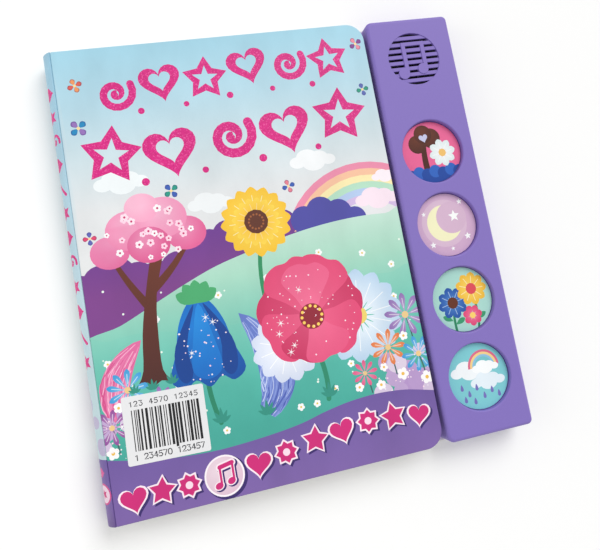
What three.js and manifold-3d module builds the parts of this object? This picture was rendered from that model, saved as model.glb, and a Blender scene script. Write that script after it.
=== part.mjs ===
// A sound board book. The front board is hinged at a rounded spine, thick leaves are glued to the
// back board, and the back board carries a plastic sound module with a speaker grille and four
// picture buttons. Millimetres, +Z up out of the front cover, +Y towards the head of the book,
// +X towards the module. The origin is the middle of the footprint, on the surface it lies on.

import * as THREE from 'three'
import { mergeVertices } from 'three/addons/utils/BufferGeometryUtils.js'
import Module from 'manifold-3d'

const wasm = await Module()
wasm.setup()

// Boards and leaves
const coverWidth = 157.2 // front board, from the spine crease to its fore edge
const coverHeight = 220
const boardThickness = 2.4
const coverCorner = 9
const backMargin = 0.8 // back board beyond the module's outer side
const backCorner = 4
const leafCount = 6
const leafThickness = 1.5
const leafGroove = 0.18 // slit between two leaves at their cut edges
const leafGrooveDepth = 0.5
const leafInset = 0.4 // leaves stop this far inside the front board's edges
const leafCorner = 6
const hingeClearance = 0.3 // air between the top leaf and the closed front board

// Spine
const spineBulge = 4.3 // how far the rounded spine stands out beyond the creases
const spineThickness = 1.4
const spineCreaseGap = 0.3 // slot between the spine and each board
const spineSteps = 14

// Price label on the front board
const labelWidth = 37
const labelHeight = 30.3
const labelThickness = 0.12
const labelCentreX = 27.5 // from the crease
const labelCentreY = 38.6 // from the tail edge
const labelTurn = -1.4 // degrees

// Sound module shell
const moduleGap = 2.2 // between the front board's fore edge and the module
const moduleWidth = 47
const moduleExtra = 0.2 // module longer than the front board
const moduleRise = 0.3 // module face above the front board's face
const moduleCornerInner = 3.8 // the two corners beside the leaves
const moduleCornerOuter = 2.8
const moduleWall = 1.6
const moduleEdge = 1.9 // rounding of the face's edge
const moduleEdgeSteps = 3
const shellClearance = 0.2

// Picture buttons
const buttonCount = 4
const buttonPitch = 39.3
const tailShare = 1 / 3 // part of the spare length that lies between the tail wall and the buttons
const windowRadius = 16.8
const windowChamfer = 0.5
const recessDepth = 2.8
const collarWall = 1.2
const collarClearance = 0.3
const capFlange = 1.6 // how far a cap reaches under its window's collar
const capThickness = 1.2
const pictureClearance = 0.35
const pictureThickness = 0.2
const domeRadius = 5
const domeClearance = 0.1

// Speaker and its grille
const speakerInset = 22.6 // middle of the grille, from the module's head end
const grilleRadius = 14.4
const grilleRecess = 0.35
const slotCount = 9
const slotPitch = 3.37
const slotHeight = 1.3
const stemWidth = 2.1
const leftStemX = -4.85 // stem centres, from the middle of the grille
const rightStemX = 5.95
const leftHead = { x: -6.9, y: -7.6, radius: 3.1 }
const rightHead = { x: 4.2, y: -5.8, radius: 2.9 }
const speakerRadius = 14.2
const speakerRingWall = 1.2
const speakerRingDepth = 3.1
const speakerDepth = 3
const magnetRadius = 8
const magnetDepth = 1.8
const coneThickness = 0.3

// Circuit board
const circuitThickness = 1
const circuitWidth = 28
const circuitMargin = 10 // beyond the first and last button centres
const circuitClearance = 0.3 // over the battery box
const chipRadius = 4.5
const chipHeight = 1.3

// Batteries, their box and door
const cellCount = 3
const cellRadius = 5.8
const cellHeight = 5.4
const cellPitch = 12.2
const cellClearance = 0.4
const contactThickness = 0.3
const contactWidth = 5
const boxWall = 1.2
const boxCeiling = 0.8
const boxCorner = 1.5
const doorRise = 0.3 // door's outer face above the surface that the book lies on
const doorThickness = 1.2
const doorLip = 2.2 // ledge around the cells that the door closes on
const doorScrewSpace = 6 // extra door length at the screw's end
const doorCorner = 2
const basePlate = 1.5

// Screws
const screwShankRadius = 0.8
const screwHoleRadius = 1.05
const bossRadius = 2.5
const screwHeadRadius = 2.1
const screwHeadHeight = 0.9
const screwHeadClearance = 0.2
const shellScrewInset = 3.3 // boss centres from the module's inner walls
const shellScrewLength = 7.5
const circuitScrewX = 11.5
const circuitScrewLength = 4
const doorScrewLength = 5.6

// Leads
const leadRadius = 0.6
const leadSpread = 3
const leadClearance = 0.05

// Facets round a circle
const windowSides = 32
const roundSides = 24
const smallSides = 10

// Levels above the surface
const leafStack = leafCount * leafThickness + (leafCount - 1) * leafGroove
const leafTop = boardThickness + leafStack
const coverBottom = leafTop + hingeClearance
const coverTop = coverBottom + boardThickness
const moduleTop = coverTop + moduleRise
const moduleCeiling = moduleTop - moduleWall
const plateTop = boardThickness + basePlate
const capTop = moduleTop - recessDepth
const capBottom = capTop - capThickness
const doorTop = doorRise + doorThickness
const cellBottom = doorTop + contactThickness
const cellTop = cellBottom + cellHeight
const boxTop = cellTop + contactThickness + boxCeiling
const circuitBottom = boxTop + circuitClearance
const circuitTop = circuitBottom + circuitThickness
const speakerFront = moduleCeiling - shellClearance
const speakerBack = speakerFront - speakerDepth

// Places across the book
const backRight = coverWidth + moduleGap + moduleWidth + backMargin
const creaseX = spineBulge - (spineBulge + backRight) / 2
const tailY = -coverHeight / 2
const moduleHeight = coverHeight + moduleExtra
const moduleX = creaseX + coverWidth + moduleGap + moduleWidth / 2
const backHeight = moduleHeight + 2 * backMargin
const capRadius = windowRadius + capFlange
const ringRadius = speakerRadius + shellClearance
const buttonRun = (buttonCount - 1) * buttonPitch
const speakerRun = speakerInset + ringRadius + speakerRingWall
const spareLength = moduleHeight - moduleWall - 2 * capRadius - buttonRun - speakerRun
const firstButtonY = -moduleHeight / 2 + moduleWall + spareLength * tailShare + capRadius
const buttonYs = Array.from({ length: buttonCount }, (_, i) => firstButtonY + i * buttonPitch)
const lastButtonY = buttonYs[buttonCount - 1]
const midButtonYs = buttonYs.slice(1).map(y => y - buttonPitch / 2)
const grilleY = moduleHeight / 2 - speakerInset
const boxHalfWidth = cellRadius + cellClearance + boxWall
const cellRun = (cellCount - 1) * cellPitch / 2
const boxHalfLength = cellRun + boxHalfWidth
const boxY = midButtonYs[1]
const doorHalfWidth = cellRadius + cellClearance + doorLip
const doorHalfLength = cellRun + doorHalfWidth
const doorLowY = boxY - doorHalfLength - doorScrewSpace
const doorHighY = boxY + doorHalfLength
const doorScrewY = doorLowY + doorScrewSpace / 2 + 1

// Turns a closed geometry into a solid for joining and cutting
function solid(geometry) {
  const plain = geometry.clone()
  plain.deleteAttribute('normal')
  plain.deleteAttribute('uv')
  const merged = mergeVertices(plain, 1e-5)
  const corners = merged.index.array
  const triangles = []
  for (let i = 0; i < corners.length; i += 3) {
    const [a, b, c] = corners.slice(i, i + 3)
    if (a !== b && b !== c && c !== a) triangles.push(a, b, c)
  }
  const vertices = new Float32Array(merged.attributes.position.array)
  return new wasm.Manifold(
    new wasm.Mesh({ numProp: 3, vertProperties: vertices, triVerts: new Uint32Array(triangles) })
  )
}

function geometryOf(body) {
  const mesh = body.getMesh()
  const geometry = new THREE.BufferGeometry()
  geometry.setAttribute('position', new THREE.BufferAttribute(mesh.vertProperties.slice(), 3))
  geometry.setIndex(new THREE.BufferAttribute(mesh.triVerts.slice(), 1))
  geometry.computeVertexNormals()
  return geometry
}

function join(bodies) {
  return bodies.reduce((whole, body) => whole.add(body))
}

function cutAll(body, cutters) {
  return cutters.reduce((rest, cutter) => rest.subtract(cutter), body)
}

// Rectangle with a rounding for each corner: low left, low right, high right, high left
function roundedRectangle(x0, y0, x1, y1, radii) {
  const [r0, r1, r2, r3] = radii
  const outline = new THREE.Shape()
  outline.moveTo(x0 + r0, y0)
  outline.lineTo(x1 - r1, y0)
  if (r1 > 0) outline.absarc(x1 - r1, y0 + r1, r1, -Math.PI / 2, 0)
  outline.lineTo(x1, y1 - r2)
  if (r2 > 0) outline.absarc(x1 - r2, y1 - r2, r2, 0, Math.PI / 2)
  outline.lineTo(x0 + r3, y1)
  if (r3 > 0) outline.absarc(x0 + r3, y1 - r3, r3, Math.PI / 2, Math.PI)
  outline.lineTo(x0, y0 + r0)
  if (r0 > 0) outline.absarc(x0 + r0, y0 + r0, r0, Math.PI, Math.PI * 1.5)
  return outline
}

function prism(outline, low, high, curveSegments = 4) {
  const geometry = new THREE.ExtrudeGeometry(outline, {
    depth: high - low,
    bevelEnabled: false,
    curveSegments
  })
  return solid(geometry.translate(0, 0, low))
}

function block(x0, x1, y0, y1, z0, z1) {
  const geometry = new THREE.BoxGeometry(x1 - x0, y1 - y0, z1 - z0)
  return solid(geometry.translate((x0 + x1) / 2, (y0 + y1) / 2, (z0 + z1) / 2))
}

// Upright cylinder or cone frustum
function rod(x, y, low, high, lowRadius, highRadius = lowRadius, sides = roundSides) {
  const geometry = new THREE.CylinderGeometry(highRadius, lowRadius, high - low, sides)
  geometry.rotateX(Math.PI / 2)
  return solid(geometry.translate(x, y, (low + high) / 2))
}

// Turned solid: [radius, height] points from the low end of the axis, out and up, back to the axis
function turned(profile, x, y, sides = roundSides) {
  const points = profile.map(([radius, height]) => new THREE.Vector2(radius, height))
  const geometry = new THREE.LatheGeometry(points, sides)
  geometry.rotateX(Math.PI / 2)
  return solid(geometry.translate(x, y, 0))
}

function lead(points) {
  const path = new THREE.CatmullRomCurve3(points.map(p => new THREE.Vector3(...p)))
  const section = new THREE.Shape()
  section.absarc(0, 0, leadRadius, 0, Math.PI * 2)
  return solid(new THREE.ExtrudeGeometry(section, {
    steps: 4 * points.length,
    curveSegments: 4,
    extrudePath: path
  }))
}

const finishes = {
  boardArt: { color: '#abd5e3', roughness: 0.35 },
  spineArt: { color: '#8fb6cd', roughness: 0.4 },
  boardPlain: { color: '#8d7cc2', roughness: 0.4 },
  leaf: { color: '#e9e4dc', roughness: 0.6 },
  label: { color: '#f6f6f4', roughness: 0.5 },
  shell: { color: '#8f7cc4', roughness: 0.45 },
  picturePink: { color: '#db6493', roughness: 0.35 },
  pictureLilac: { color: '#d2b0cb', roughness: 0.35 },
  pictureMint: { color: '#a0d0c3', roughness: 0.35 },
  pictureTurquoise: { color: '#82c8cd', roughness: 0.35 },
  cap: { color: '#efeff2', roughness: 0.5 },
  rubber: { color: '#c9ccd0', roughness: 0.8 },
  circuit: { color: '#2f6b45', roughness: 0.5 },
  epoxy: { color: '#141416', roughness: 0.4 },
  steel: { color: '#c4c6c8', roughness: 0.35, metalness: 1 },
  magnet: { color: '#5b5d60', roughness: 0.45, metalness: 1 },
  cone: { color: '#26272a', roughness: 0.7 },
  leadRed: { color: '#b5282c', roughness: 0.5 },
  leadBlack: { color: '#1d1d1f', roughness: 0.5 }
}
const materials = Object.fromEntries(
  Object.entries(finishes).map(([name, look]) => [name, new THREE.MeshStandardMaterial({ name, ...look })])
)

const book = new THREE.Group()

function place(parent, name, body, material) {
  const mesh = new THREE.Mesh(geometryOf(body), materials[material])
  mesh.name = name
  parent.add(mesh)
}

// Front board, from the crease to a fore edge with rounded corners
function frontBoard() {
  const outline = roundedRectangle(
    creaseX, tailY, creaseX + coverWidth, tailY + coverHeight,
    [0, coverCorner, coverCorner, 0]
  )
  return prism(outline, coverBottom, coverTop, 10)
}

function backBoard() {
  const outline = roundedRectangle(
    creaseX, -backHeight / 2, creaseX + backRight, backHeight / 2,
    [0, backCorner, backCorner, 0]
  )
  const frame = boxWall + shellClearance
  const opening = roundedRectangle(
    moduleX - doorHalfWidth - frame, doorLowY - frame,
    moduleX + doorHalfWidth + frame, doorHighY + frame,
    Array(4).fill(doorCorner + frame)
  )
  return prism(outline, 0, boardThickness).subtract(prism(opening, -1, boardThickness + 1))
}

// The spine's outer face is an arc through both creases
const spineHalf = coverTop / 2
const spineRadius = (spineHalf ** 2 + spineBulge ** 2) / (2 * spineBulge)
const spineCentreX = creaseX - spineBulge + spineRadius

function spineShell() {
  const inner = spineRadius - spineThickness
  const section = new THREE.Shape()
  section.absarc(spineCentreX, spineHalf, spineRadius, Math.PI * 0.5, Math.PI * 1.5)
  section.absarc(spineCentreX, spineHalf, inner, Math.PI * 1.5, Math.PI * 0.5, true)
  const geometry = new THREE.ExtrudeGeometry(section, {
    depth: coverHeight,
    bevelEnabled: false,
    curveSegments: spineSteps
  })
  geometry.rotateX(Math.PI / 2)
  geometry.translate(0, coverHeight / 2, 0)
  const reach = 2 * spineRadius
  const right = creaseX - spineCreaseGap
  const keep = block(creaseX - reach, right, tailY - 1, -tailY + 1, -reach, coverTop + reach)
  return solid(geometry).intersect(keep)
}

// Leaves follow the spine's rounding and keep thin slits between their cut edges
function leafBlock() {
  const inner = spineRadius - spineThickness - hingeClearance
  const low = tailY + leafInset
  const right = creaseX + coverWidth - leafInset
  const leaves = []
  for (let i = 0; i < leafCount; i++) {
    const bottom = boardThickness + i * (leafThickness + leafGroove)
    const top = bottom + leafThickness
    const away = Math.max(Math.abs(bottom - spineHalf), Math.abs(top - spineHalf))
    const left = spineCentreX - Math.sqrt(Math.max(inner ** 2 - away ** 2, 0))
    const outline = roundedRectangle(
      Math.min(left, creaseX), low, right, -low, [0, leafCorner, leafCorner, 0]
    )
    leaves.push(prism(outline, bottom, top, 5))
  }
  const core = roundedRectangle(
    creaseX + leafGrooveDepth, low + leafGrooveDepth, right - leafGrooveDepth, -low - leafGrooveDepth,
    [0, leafCorner - leafGrooveDepth, leafCorner - leafGrooveDepth, 0]
  )
  const middle = leafThickness / 2
  return join([...leaves, prism(core, boardThickness + middle, leafTop - middle)])
}

function priceLabel() {
  const outline = roundedRectangle(
    -labelWidth / 2, -labelHeight / 2, labelWidth / 2, labelHeight / 2, Array(4).fill(1)
  )
  return prism(outline, coverTop, coverTop + labelThickness, 4)
    .rotate([0, 0, labelTurn])
    .translate([creaseX + labelCentreX, tailY + labelCentreY, 0])
}

function moduleOutline(inset) {
  const inner = Math.max(moduleCornerInner - inset, 0.5)
  const outer = Math.max(moduleCornerOuter - inset, 0.5)
  const halfWidth = moduleWidth / 2 - inset
  const halfHeight = moduleHeight / 2 - inset
  return roundedRectangle(
    moduleX - halfWidth, -halfHeight, moduleX + halfWidth, halfHeight,
    [inner, outer, outer, inner]
  )
}

const shellScrewX = moduleWidth / 2 - moduleWall - shellScrewInset
const shellScrewEndY = moduleHeight / 2 - moduleWall - shellScrewInset
const shellScrews = [-shellScrewEndY, midButtonYs[1], shellScrewEndY].flatMap(
  y => [[moduleX - shellScrewX, y], [moduleX + shellScrewX, y]]
)
const circuitScrews = midButtonYs.map((y, i) => [moduleX + (i % 2 ? circuitScrewX : -circuitScrewX), y])

function shellBlank() {
  const start = boardThickness - moduleEdge
  const geometry = new THREE.ExtrudeGeometry(moduleOutline(0), {
    depth: moduleTop - moduleEdge - start,
    bevelEnabled: true,
    bevelThickness: moduleEdge,
    bevelSize: moduleEdge,
    bevelOffset: -moduleEdge,
    bevelSegments: moduleEdgeSteps,
    curveSegments: 5
  })
  const blank = solid(geometry.translate(0, 0, start))
  const reach = moduleWidth + moduleHeight
  return blank.subtract(block(-reach, reach, -reach, reach, -reach, boardThickness))
}

// Slots across the grille, kept inside its circle
function grilleSlots() {
  const slots = []
  for (let i = 0; i < slotCount; i++) {
    const y = grilleY + ((slotCount - 1) / 2 - i) * slotPitch
    slots.push(block(
      moduleX - grilleRadius, moduleX + grilleRadius, y - slotHeight / 2, y + slotHeight / 2,
      moduleCeiling - 1, moduleTop + 1
    ))
  }
  const circle = rod(moduleX, grilleY, moduleCeiling - 2, moduleTop + 2, grilleRadius)
  return join(slots).intersect(circle)
}

// A beamed double note that bridges the slots
function grilleNote() {
  const beamLow = (slotCount - 1) / 2 - 2
  const beamY0 = grilleY + beamLow * slotPitch + slotHeight / 2
  const beamY1 = grilleY + (beamLow + 1) * slotPitch - slotHeight / 2
  const half = stemWidth / 2
  const stems = [[leftStemX, leftHead], [rightStemX, rightHead]].map(([x, head]) => block(
    moduleX + x - half, moduleX + x + half, grilleY + head.y, beamY1, moduleCeiling, moduleTop
  ))
  const beam = block(
    moduleX + leftStemX - half, moduleX + rightStemX + half, beamY0, beamY1, moduleCeiling, moduleTop
  )
  const heads = [leftHead, rightHead].map(
    head => rod(
      moduleX + head.x, grilleY + head.y, moduleCeiling, moduleTop, head.radius, undefined, 16
    )
  )
  return join([...stems, beam, ...heads])
}

function moduleShell() {
  const cavity = prism(moduleOutline(moduleWall), -1, moduleCeiling)
  const root = moduleCeiling + moduleWall / 2
  const collars = buttonYs.map(
    y => rod(moduleX, y, capTop + collarClearance, root, windowRadius + collarWall, undefined, windowSides)
  )
  const bosses = [
    ...shellScrews.map(([x, y]) => rod(x, y, plateTop, root, bossRadius, undefined, smallSides)),
    ...circuitScrews.map(([x, y]) => rod(x, y, circuitTop, root, bossRadius, undefined, smallSides))
  ]
  const ringLow = moduleCeiling - speakerRingDepth
  const ring = rod(moduleX, grilleY, ringLow, root, ringRadius + speakerRingWall)
    .subtract(rod(moduleX, grilleY, ringLow - 1, moduleTop, ringRadius))
  const windows = buttonYs.flatMap(y => [
    rod(moduleX, y, capTop, moduleTop + 1, windowRadius, undefined, windowSides),
    rod(
      moduleX, y, moduleTop - windowChamfer, moduleTop + windowChamfer,
      windowRadius, windowRadius + 2 * windowChamfer, windowSides
    )
  ])
  const holes = [
    ...shellScrews.map(([x, y]) => rod(x, y, 0, moduleCeiling, screwHoleRadius, undefined, smallSides)),
    ...circuitScrews.map(([x, y]) => rod(x, y, 0, moduleCeiling, screwHoleRadius, undefined, smallSides))
  ]
  const recess = rod(moduleX, grilleY, moduleTop - grilleRecess, moduleTop + 1, grilleRadius)
  const hollow = shellBlank().subtract(cavity)
  const fitted = join([hollow, ...collars, ...bosses, ring])
  return cutAll(fitted, [...windows, ...holes, recess, grilleSlots()]).add(grilleNote())
}

// Back plate with the battery box; its lower frame reaches through the back board
function moduleBase() {
  const plate = prism(moduleOutline(moduleWall + shellClearance), boardThickness, plateTop)
  const frame = roundedRectangle(
    moduleX - doorHalfWidth - boxWall, doorLowY - boxWall,
    moduleX + doorHalfWidth + boxWall, doorHighY + boxWall,
    Array(4).fill(doorCorner + boxWall)
  )
  const box = roundedRectangle(
    moduleX - boxHalfWidth, boxY - boxHalfLength, moduleX + boxHalfWidth, boxY + boxHalfLength,
    Array(4).fill(boxCorner + boxWall)
  )
  const cells = roundedRectangle(
    moduleX - boxHalfWidth + boxWall, boxY - boxHalfLength + boxWall,
    moduleX + boxHalfWidth - boxWall, boxY + boxHalfLength - boxWall,
    Array(4).fill(boxCorner)
  )
  const door = roundedRectangle(
    moduleX - doorHalfWidth, doorLowY, moduleX + doorHalfWidth, doorHighY, Array(4).fill(doorCorner)
  )
  const solids = join([
    plate,
    prism(frame, doorRise, plateTop),
    prism(box, boardThickness, boxTop),
    rod(moduleX, doorScrewY, boardThickness, doorTop + doorScrewLength, bossRadius, undefined, smallSides)
  ])
  const slotHalf = contactWidth / 2 + shellClearance
  const contactSlot = block(
    moduleX - slotHalf, moduleX + slotHalf,
    boxY - boxHalfLength - 1, boxY + boxHalfLength + 1,
    cellTop - shellClearance, cellTop + contactThickness + shellClearance
  )
  const headSpace = screwHeadHeight + screwHeadClearance
  const screwHoles = shellScrews.flatMap(([x, y]) => [
    rod(x, y, 0, plateTop + 1, screwHoleRadius, undefined, smallSides),
    rod(x, y, 0, boardThickness + headSpace, screwHeadRadius + screwHeadClearance, undefined, smallSides)
  ])
  return cutAll(solids, [
    prism(door, doorRise - 1, doorTop),
    prism(cells, doorTop - 0.1, cellTop + contactThickness),
    contactSlot,
    rod(moduleX, doorScrewY, 0, doorTop + doorScrewLength - 0.6, screwHoleRadius, undefined, smallSides),
    ...screwHoles
  ])
}

function pictureCap(y) {
  return rod(moduleX, y, capBottom, capTop, capRadius, undefined, windowSides)
}

function picture(y) {
  const radius = windowRadius - pictureClearance
  return rod(moduleX, y, capTop, capTop + pictureThickness, radius, undefined, windowSides)
}

// Rubber dome with a thin web and a pill inside
function rubberDome(y) {
  const top = capBottom - domeClearance
  const height = top - circuitTop
  const wall = height * 0.22
  return turned([
    [0, circuitTop + height * 0.4],
    [1.2, circuitTop + height * 0.4],
    [1.4, top - wall],
    [2.2, top - wall],
    [domeRadius - 1.6, circuitTop],
    [domeRadius, circuitTop],
    [domeRadius, circuitTop + wall],
    [domeRadius - 1.2, circuitTop + wall],
    [2.6, top],
    [0, top]
  ], moduleX, y, 14)
}

function circuitBoard() {
  const half = circuitWidth / 2
  const outline = roundedRectangle(
    moduleX - half, buttonYs[0] - circuitMargin, moduleX + half, lastButtonY + circuitMargin,
    Array(4).fill(1)
  )
  const holes = circuitScrews.map(
    ([x, y]) => rod(x, y, circuitBottom - 1, circuitTop + 1, screwHoleRadius, undefined, smallSides)
  )
  return cutAll(prism(outline, circuitBottom, circuitTop, 3), holes)
}

function soundChip() {
  const low = circuitBottom - chipHeight
  return turned([
    [0, low],
    [chipRadius * 0.45, low + chipHeight * 0.08],
    [chipRadius * 0.8, low + chipHeight * 0.35],
    [chipRadius, circuitBottom],
    [0, circuitBottom]
  ], moduleX + leadSpread, midButtonYs[2] + buttonPitch / 4, 16)
}

// Steel basket: a dish with a hole in its back for the voice coil
const basketWall = 0.6
const basketShoulder = speakerRadius - 1.2
const basketFloorRadius = magnetRadius + 2.5

function speakerFrame() {
  const hole = magnetRadius * 0.45
  return turned([
    [hole, speakerBack],
    [basketFloorRadius, speakerBack],
    [basketShoulder, speakerFront - 1],
    [speakerRadius, speakerFront - 1],
    [speakerRadius, speakerFront],
    [basketShoulder - basketWall, speakerFront],
    [basketFloorRadius - basketWall, speakerBack + basketWall],
    [hole, speakerBack + basketWall],
    [hole, speakerBack]
  ], moduleX, grilleY)
}

// Paper cone inside the basket, with a domed middle
function speakerCone() {
  const rim = basketShoulder - basketWall - 1.1
  const neck = magnetRadius * 0.5
  const low = speakerBack + basketWall + 0.5
  const high = speakerFront - 0.4
  return turned([
    [0, low + 0.8],
    [neck, low],
    [rim, high - coneThickness],
    [rim, high],
    [neck, low + coneThickness],
    [0, low + 0.8 + coneThickness]
  ], moduleX, grilleY)
}

function speakerMagnet() {
  return rod(moduleX, grilleY, speakerBack - magnetDepth, speakerBack, magnetRadius)
}

// Button cell: a can with a smaller cap, turned over where the row alternates
function buttonCell(index) {
  const y = boxY + (index - (cellCount - 1) / 2) * cellPitch
  const step = 0.6
  const capRadius = cellRadius * 0.82
  const capDown = index % 2 === 1
  const profile = [
    [0, 0],
    [cellRadius, 0],
    [cellRadius, cellHeight - step],
    [capRadius, cellHeight - step],
    [capRadius, cellHeight],
    [0, cellHeight]
  ]
  const upright = profile.map(([radius, height]) => [radius, cellBottom + height])
  const flipped = profile.map(([radius, height]) => [radius, cellTop - height]).reverse()
  return turned(capDown ? flipped : upright, moduleX, y)
}

const cellY = index => boxY + (index - (cellCount - 1) / 2) * cellPitch
const contactEdge = cellRadius * 0.7

// Spring strips above the cells; the last one leads out of the box to the circuit board
function stripAbove(y0, y1) {
  const half = contactWidth / 2
  return block(moduleX - half, moduleX + half, y0, y1, cellTop, cellTop + contactThickness)
}

function plusContact() {
  const end = boxY + boxHalfLength + 1
  return stripAbove(cellY(cellCount - 1) - contactEdge, end)
}

function innerBridge() {
  return stripAbove(cellY(0) - contactEdge, cellY(1) + contactEdge)
}

function doorBridge() {
  const half = contactWidth / 2
  const y0 = cellY(1) - contactEdge
  const y1 = cellY(cellCount - 1) + contactEdge
  return block(moduleX - half, moduleX + half, y0, y1, doorTop, cellBottom)
}

// Foot under the first cell with a leg up the box's end wall
function minusContact() {
  const half = contactWidth / 2
  const legY = boxY - boxHalfLength + boxWall + leadClearance
  const foot = block(moduleX - half, moduleX + half, legY, cellY(0) + contactEdge, doorTop, cellBottom)
  const cellEnd = cellY(0) - cellRadius
  const thickness = Math.min(contactThickness, cellEnd - legY - leadClearance)
  const leg = block(
    moduleX - half, moduleX + half, legY, legY + thickness, doorTop, cellTop + contactThickness
  )
  return foot.add(leg)
}

function batteryDoor() {
  const gap = shellClearance
  const outline = roundedRectangle(
    moduleX - doorHalfWidth + gap, doorLowY + gap, moduleX + doorHalfWidth - gap, doorHighY - gap,
    Array(4).fill(doorCorner - gap)
  )
  const headSpace = screwHeadHeight * 0.8
  const gripY = doorHighY - 4
  return cutAll(prism(outline, doorRise, doorTop), [
    rod(moduleX, doorScrewY, 0, doorTop + 1, screwHoleRadius, undefined, smallSides),
    rod(moduleX, doorScrewY, 0, doorRise + headSpace, screwHeadRadius + screwHeadClearance, undefined, smallSides),
    block(moduleX - 4, moduleX + 4, gripY, gripY + 1.4, 0, doorRise + 0.5)
  ])
}

// Cross-head screw with its head down, on a seat at the given level
function screw(x, y, seat, headHeight, length) {
  const low = seat - headHeight
  const body = turned([
    [0, low],
    [screwHeadRadius * 0.8, low],
    [screwHeadRadius, low + headHeight * 0.4],
    [screwHeadRadius, seat],
    [screwShankRadius, seat],
    [screwShankRadius, seat + length - 0.8],
    [0.2, seat + length],
    [0, seat + length]
  ], x, y, smallSides)
  const arm = screwHeadRadius * 0.55
  const slit = 0.3
  const depth = low + headHeight * 0.5
  return cutAll(body, [
    block(x - arm, x + arm, y - slit, y + slit, low - 1, depth),
    block(x - slit, x + slit, y - arm, y + arm, low - 1, depth)
  ])
}

function speakerLead(side) {
  const x = moduleX + side * leadSpread
  const under = circuitBottom - leadRadius - leadClearance
  const endY = lastButtonY + circuitMargin
  const basketY = grilleY - speakerRadius
  const ringY = basketY - shellClearance - speakerRingWall
  const below = moduleCeiling - speakerRingDepth - leadRadius - hingeClearance
  return lead([
    [x, endY - 3.5, under],
    [x, endY + 1, under],
    [x + side, (endY + ringY) / 2, under - 0.8],
    [x, ringY - 1, Math.min(below, speakerBack - 1)],
    [x, basketY + 2.5, Math.min(below, speakerBack - 1)],
    [x, grilleY - magnetRadius - leadRadius - hingeClearance, speakerBack - leadRadius - leadClearance]
  ])
}

function batteryLead(side) {
  const x = moduleX + side * leadSpread / 2
  const start = boxY + boxHalfLength + 1 + hingeClearance
  const under = circuitBottom - leadRadius - leadClearance
  return lead([
    [x, start, cellTop],
    [x + side * 0.5, start + 2.2, cellTop],
    [x + side, start + 4.5, under],
    [x + side, start + 8, under]
  ])
}

// Leaves the box beside the door screw's boss
function minusLead() {
  const x = moduleX - bossRadius - leadRadius - hingeClearance
  const y = boxY - boxHalfLength - leadRadius - hingeClearance
  const under = circuitBottom - leadRadius - leadClearance
  return lead([
    [x + 0.5, y, cellTop],
    [x - 1.5, y, cellTop],
    [x - 3, y - 1.6, under],
    [x - 3, y - 5, under]
  ])
}

place(book, 'back_cover', backBoard(), 'boardPlain')
place(book, 'spine', spineShell(), 'spineArt')
place(book, 'page_block', leafBlock(), 'leaf')
place(book, 'front_cover', frontBoard(), 'boardArt')
place(book, 'price_label', priceLabel(), 'label')

const soundModule = new THREE.Group()
book.add(soundModule)
place(soundModule, 'module_housing', moduleShell(), 'shell')
place(soundModule, 'module_base', moduleBase(), 'shell')
place(soundModule, 'circuit_board', circuitBoard(), 'circuit')
place(soundModule, 'sound_chip', soundChip(), 'epoxy')

const pictureFinishes = ['pictureTurquoise', 'pictureMint', 'pictureLilac', 'picturePink']
buttonYs.forEach((y, i) => {
  const number = buttonCount - i // counted from the head of the book
  place(soundModule, `button_cap_${number}`, pictureCap(y), 'cap')
  place(soundModule, `button_picture_${number}`, picture(y), pictureFinishes[i % pictureFinishes.length])
  place(soundModule, `rubber_dome_${number}`, rubberDome(y), 'rubber')
})

place(soundModule, 'speaker_frame', speakerFrame(), 'steel')
place(soundModule, 'speaker_cone', speakerCone(), 'cone')
place(soundModule, 'speaker_magnet', speakerMagnet(), 'magnet')
place(soundModule, 'speaker_wire_red', speakerLead(1), 'leadRed')
place(soundModule, 'speaker_wire_black', speakerLead(-1), 'leadBlack')

for (let i = 0; i < cellCount; i++) place(soundModule, `button_cell_${i + 1}`, buttonCell(i), 'steel')
place(soundModule, 'battery_contact_plus', plusContact(), 'steel')
place(soundModule, 'battery_contact_minus', minusContact(), 'steel')
place(soundModule, 'battery_bridge_inner', innerBridge(), 'steel')
place(soundModule, 'battery_bridge_door', doorBridge(), 'steel')
place(soundModule, 'battery_wire_red', batteryLead(1), 'leadRed')
place(soundModule, 'battery_wire_black', minusLead(), 'leadBlack')
place(soundModule, 'battery_door', batteryDoor(), 'shell')

const doorHeadHeight = screwHeadHeight * 0.7
const doorScrewSeat = doorRise + screwHeadHeight * 0.8
place(
  soundModule, 'door_screw',
  screw(moduleX, doorScrewY, doorScrewSeat, doorHeadHeight, doorScrewLength - 0.8), 'steel'
)
const shellScrewSeat = boardThickness + screwHeadHeight + screwHeadClearance
shellScrews.forEach(([x, y], i) => {
  place(
    soundModule, `housing_screw_${i + 1}`,
    screw(x, y, shellScrewSeat, screwHeadHeight, shellScrewLength), 'steel'
  )
})
circuitScrews.forEach(([x, y], i) => {
  place(
    soundModule, `circuit_screw_${i + 1}`,
    screw(x, y, circuitBottom, screwHeadHeight, circuitScrewLength), 'steel'
  )
})

export default book
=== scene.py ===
import math
import random
import bpy
import numpy as np
from mathutils import Matrix, Vector
from mathutils.geometry import delaunay_2d_cdt


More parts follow.
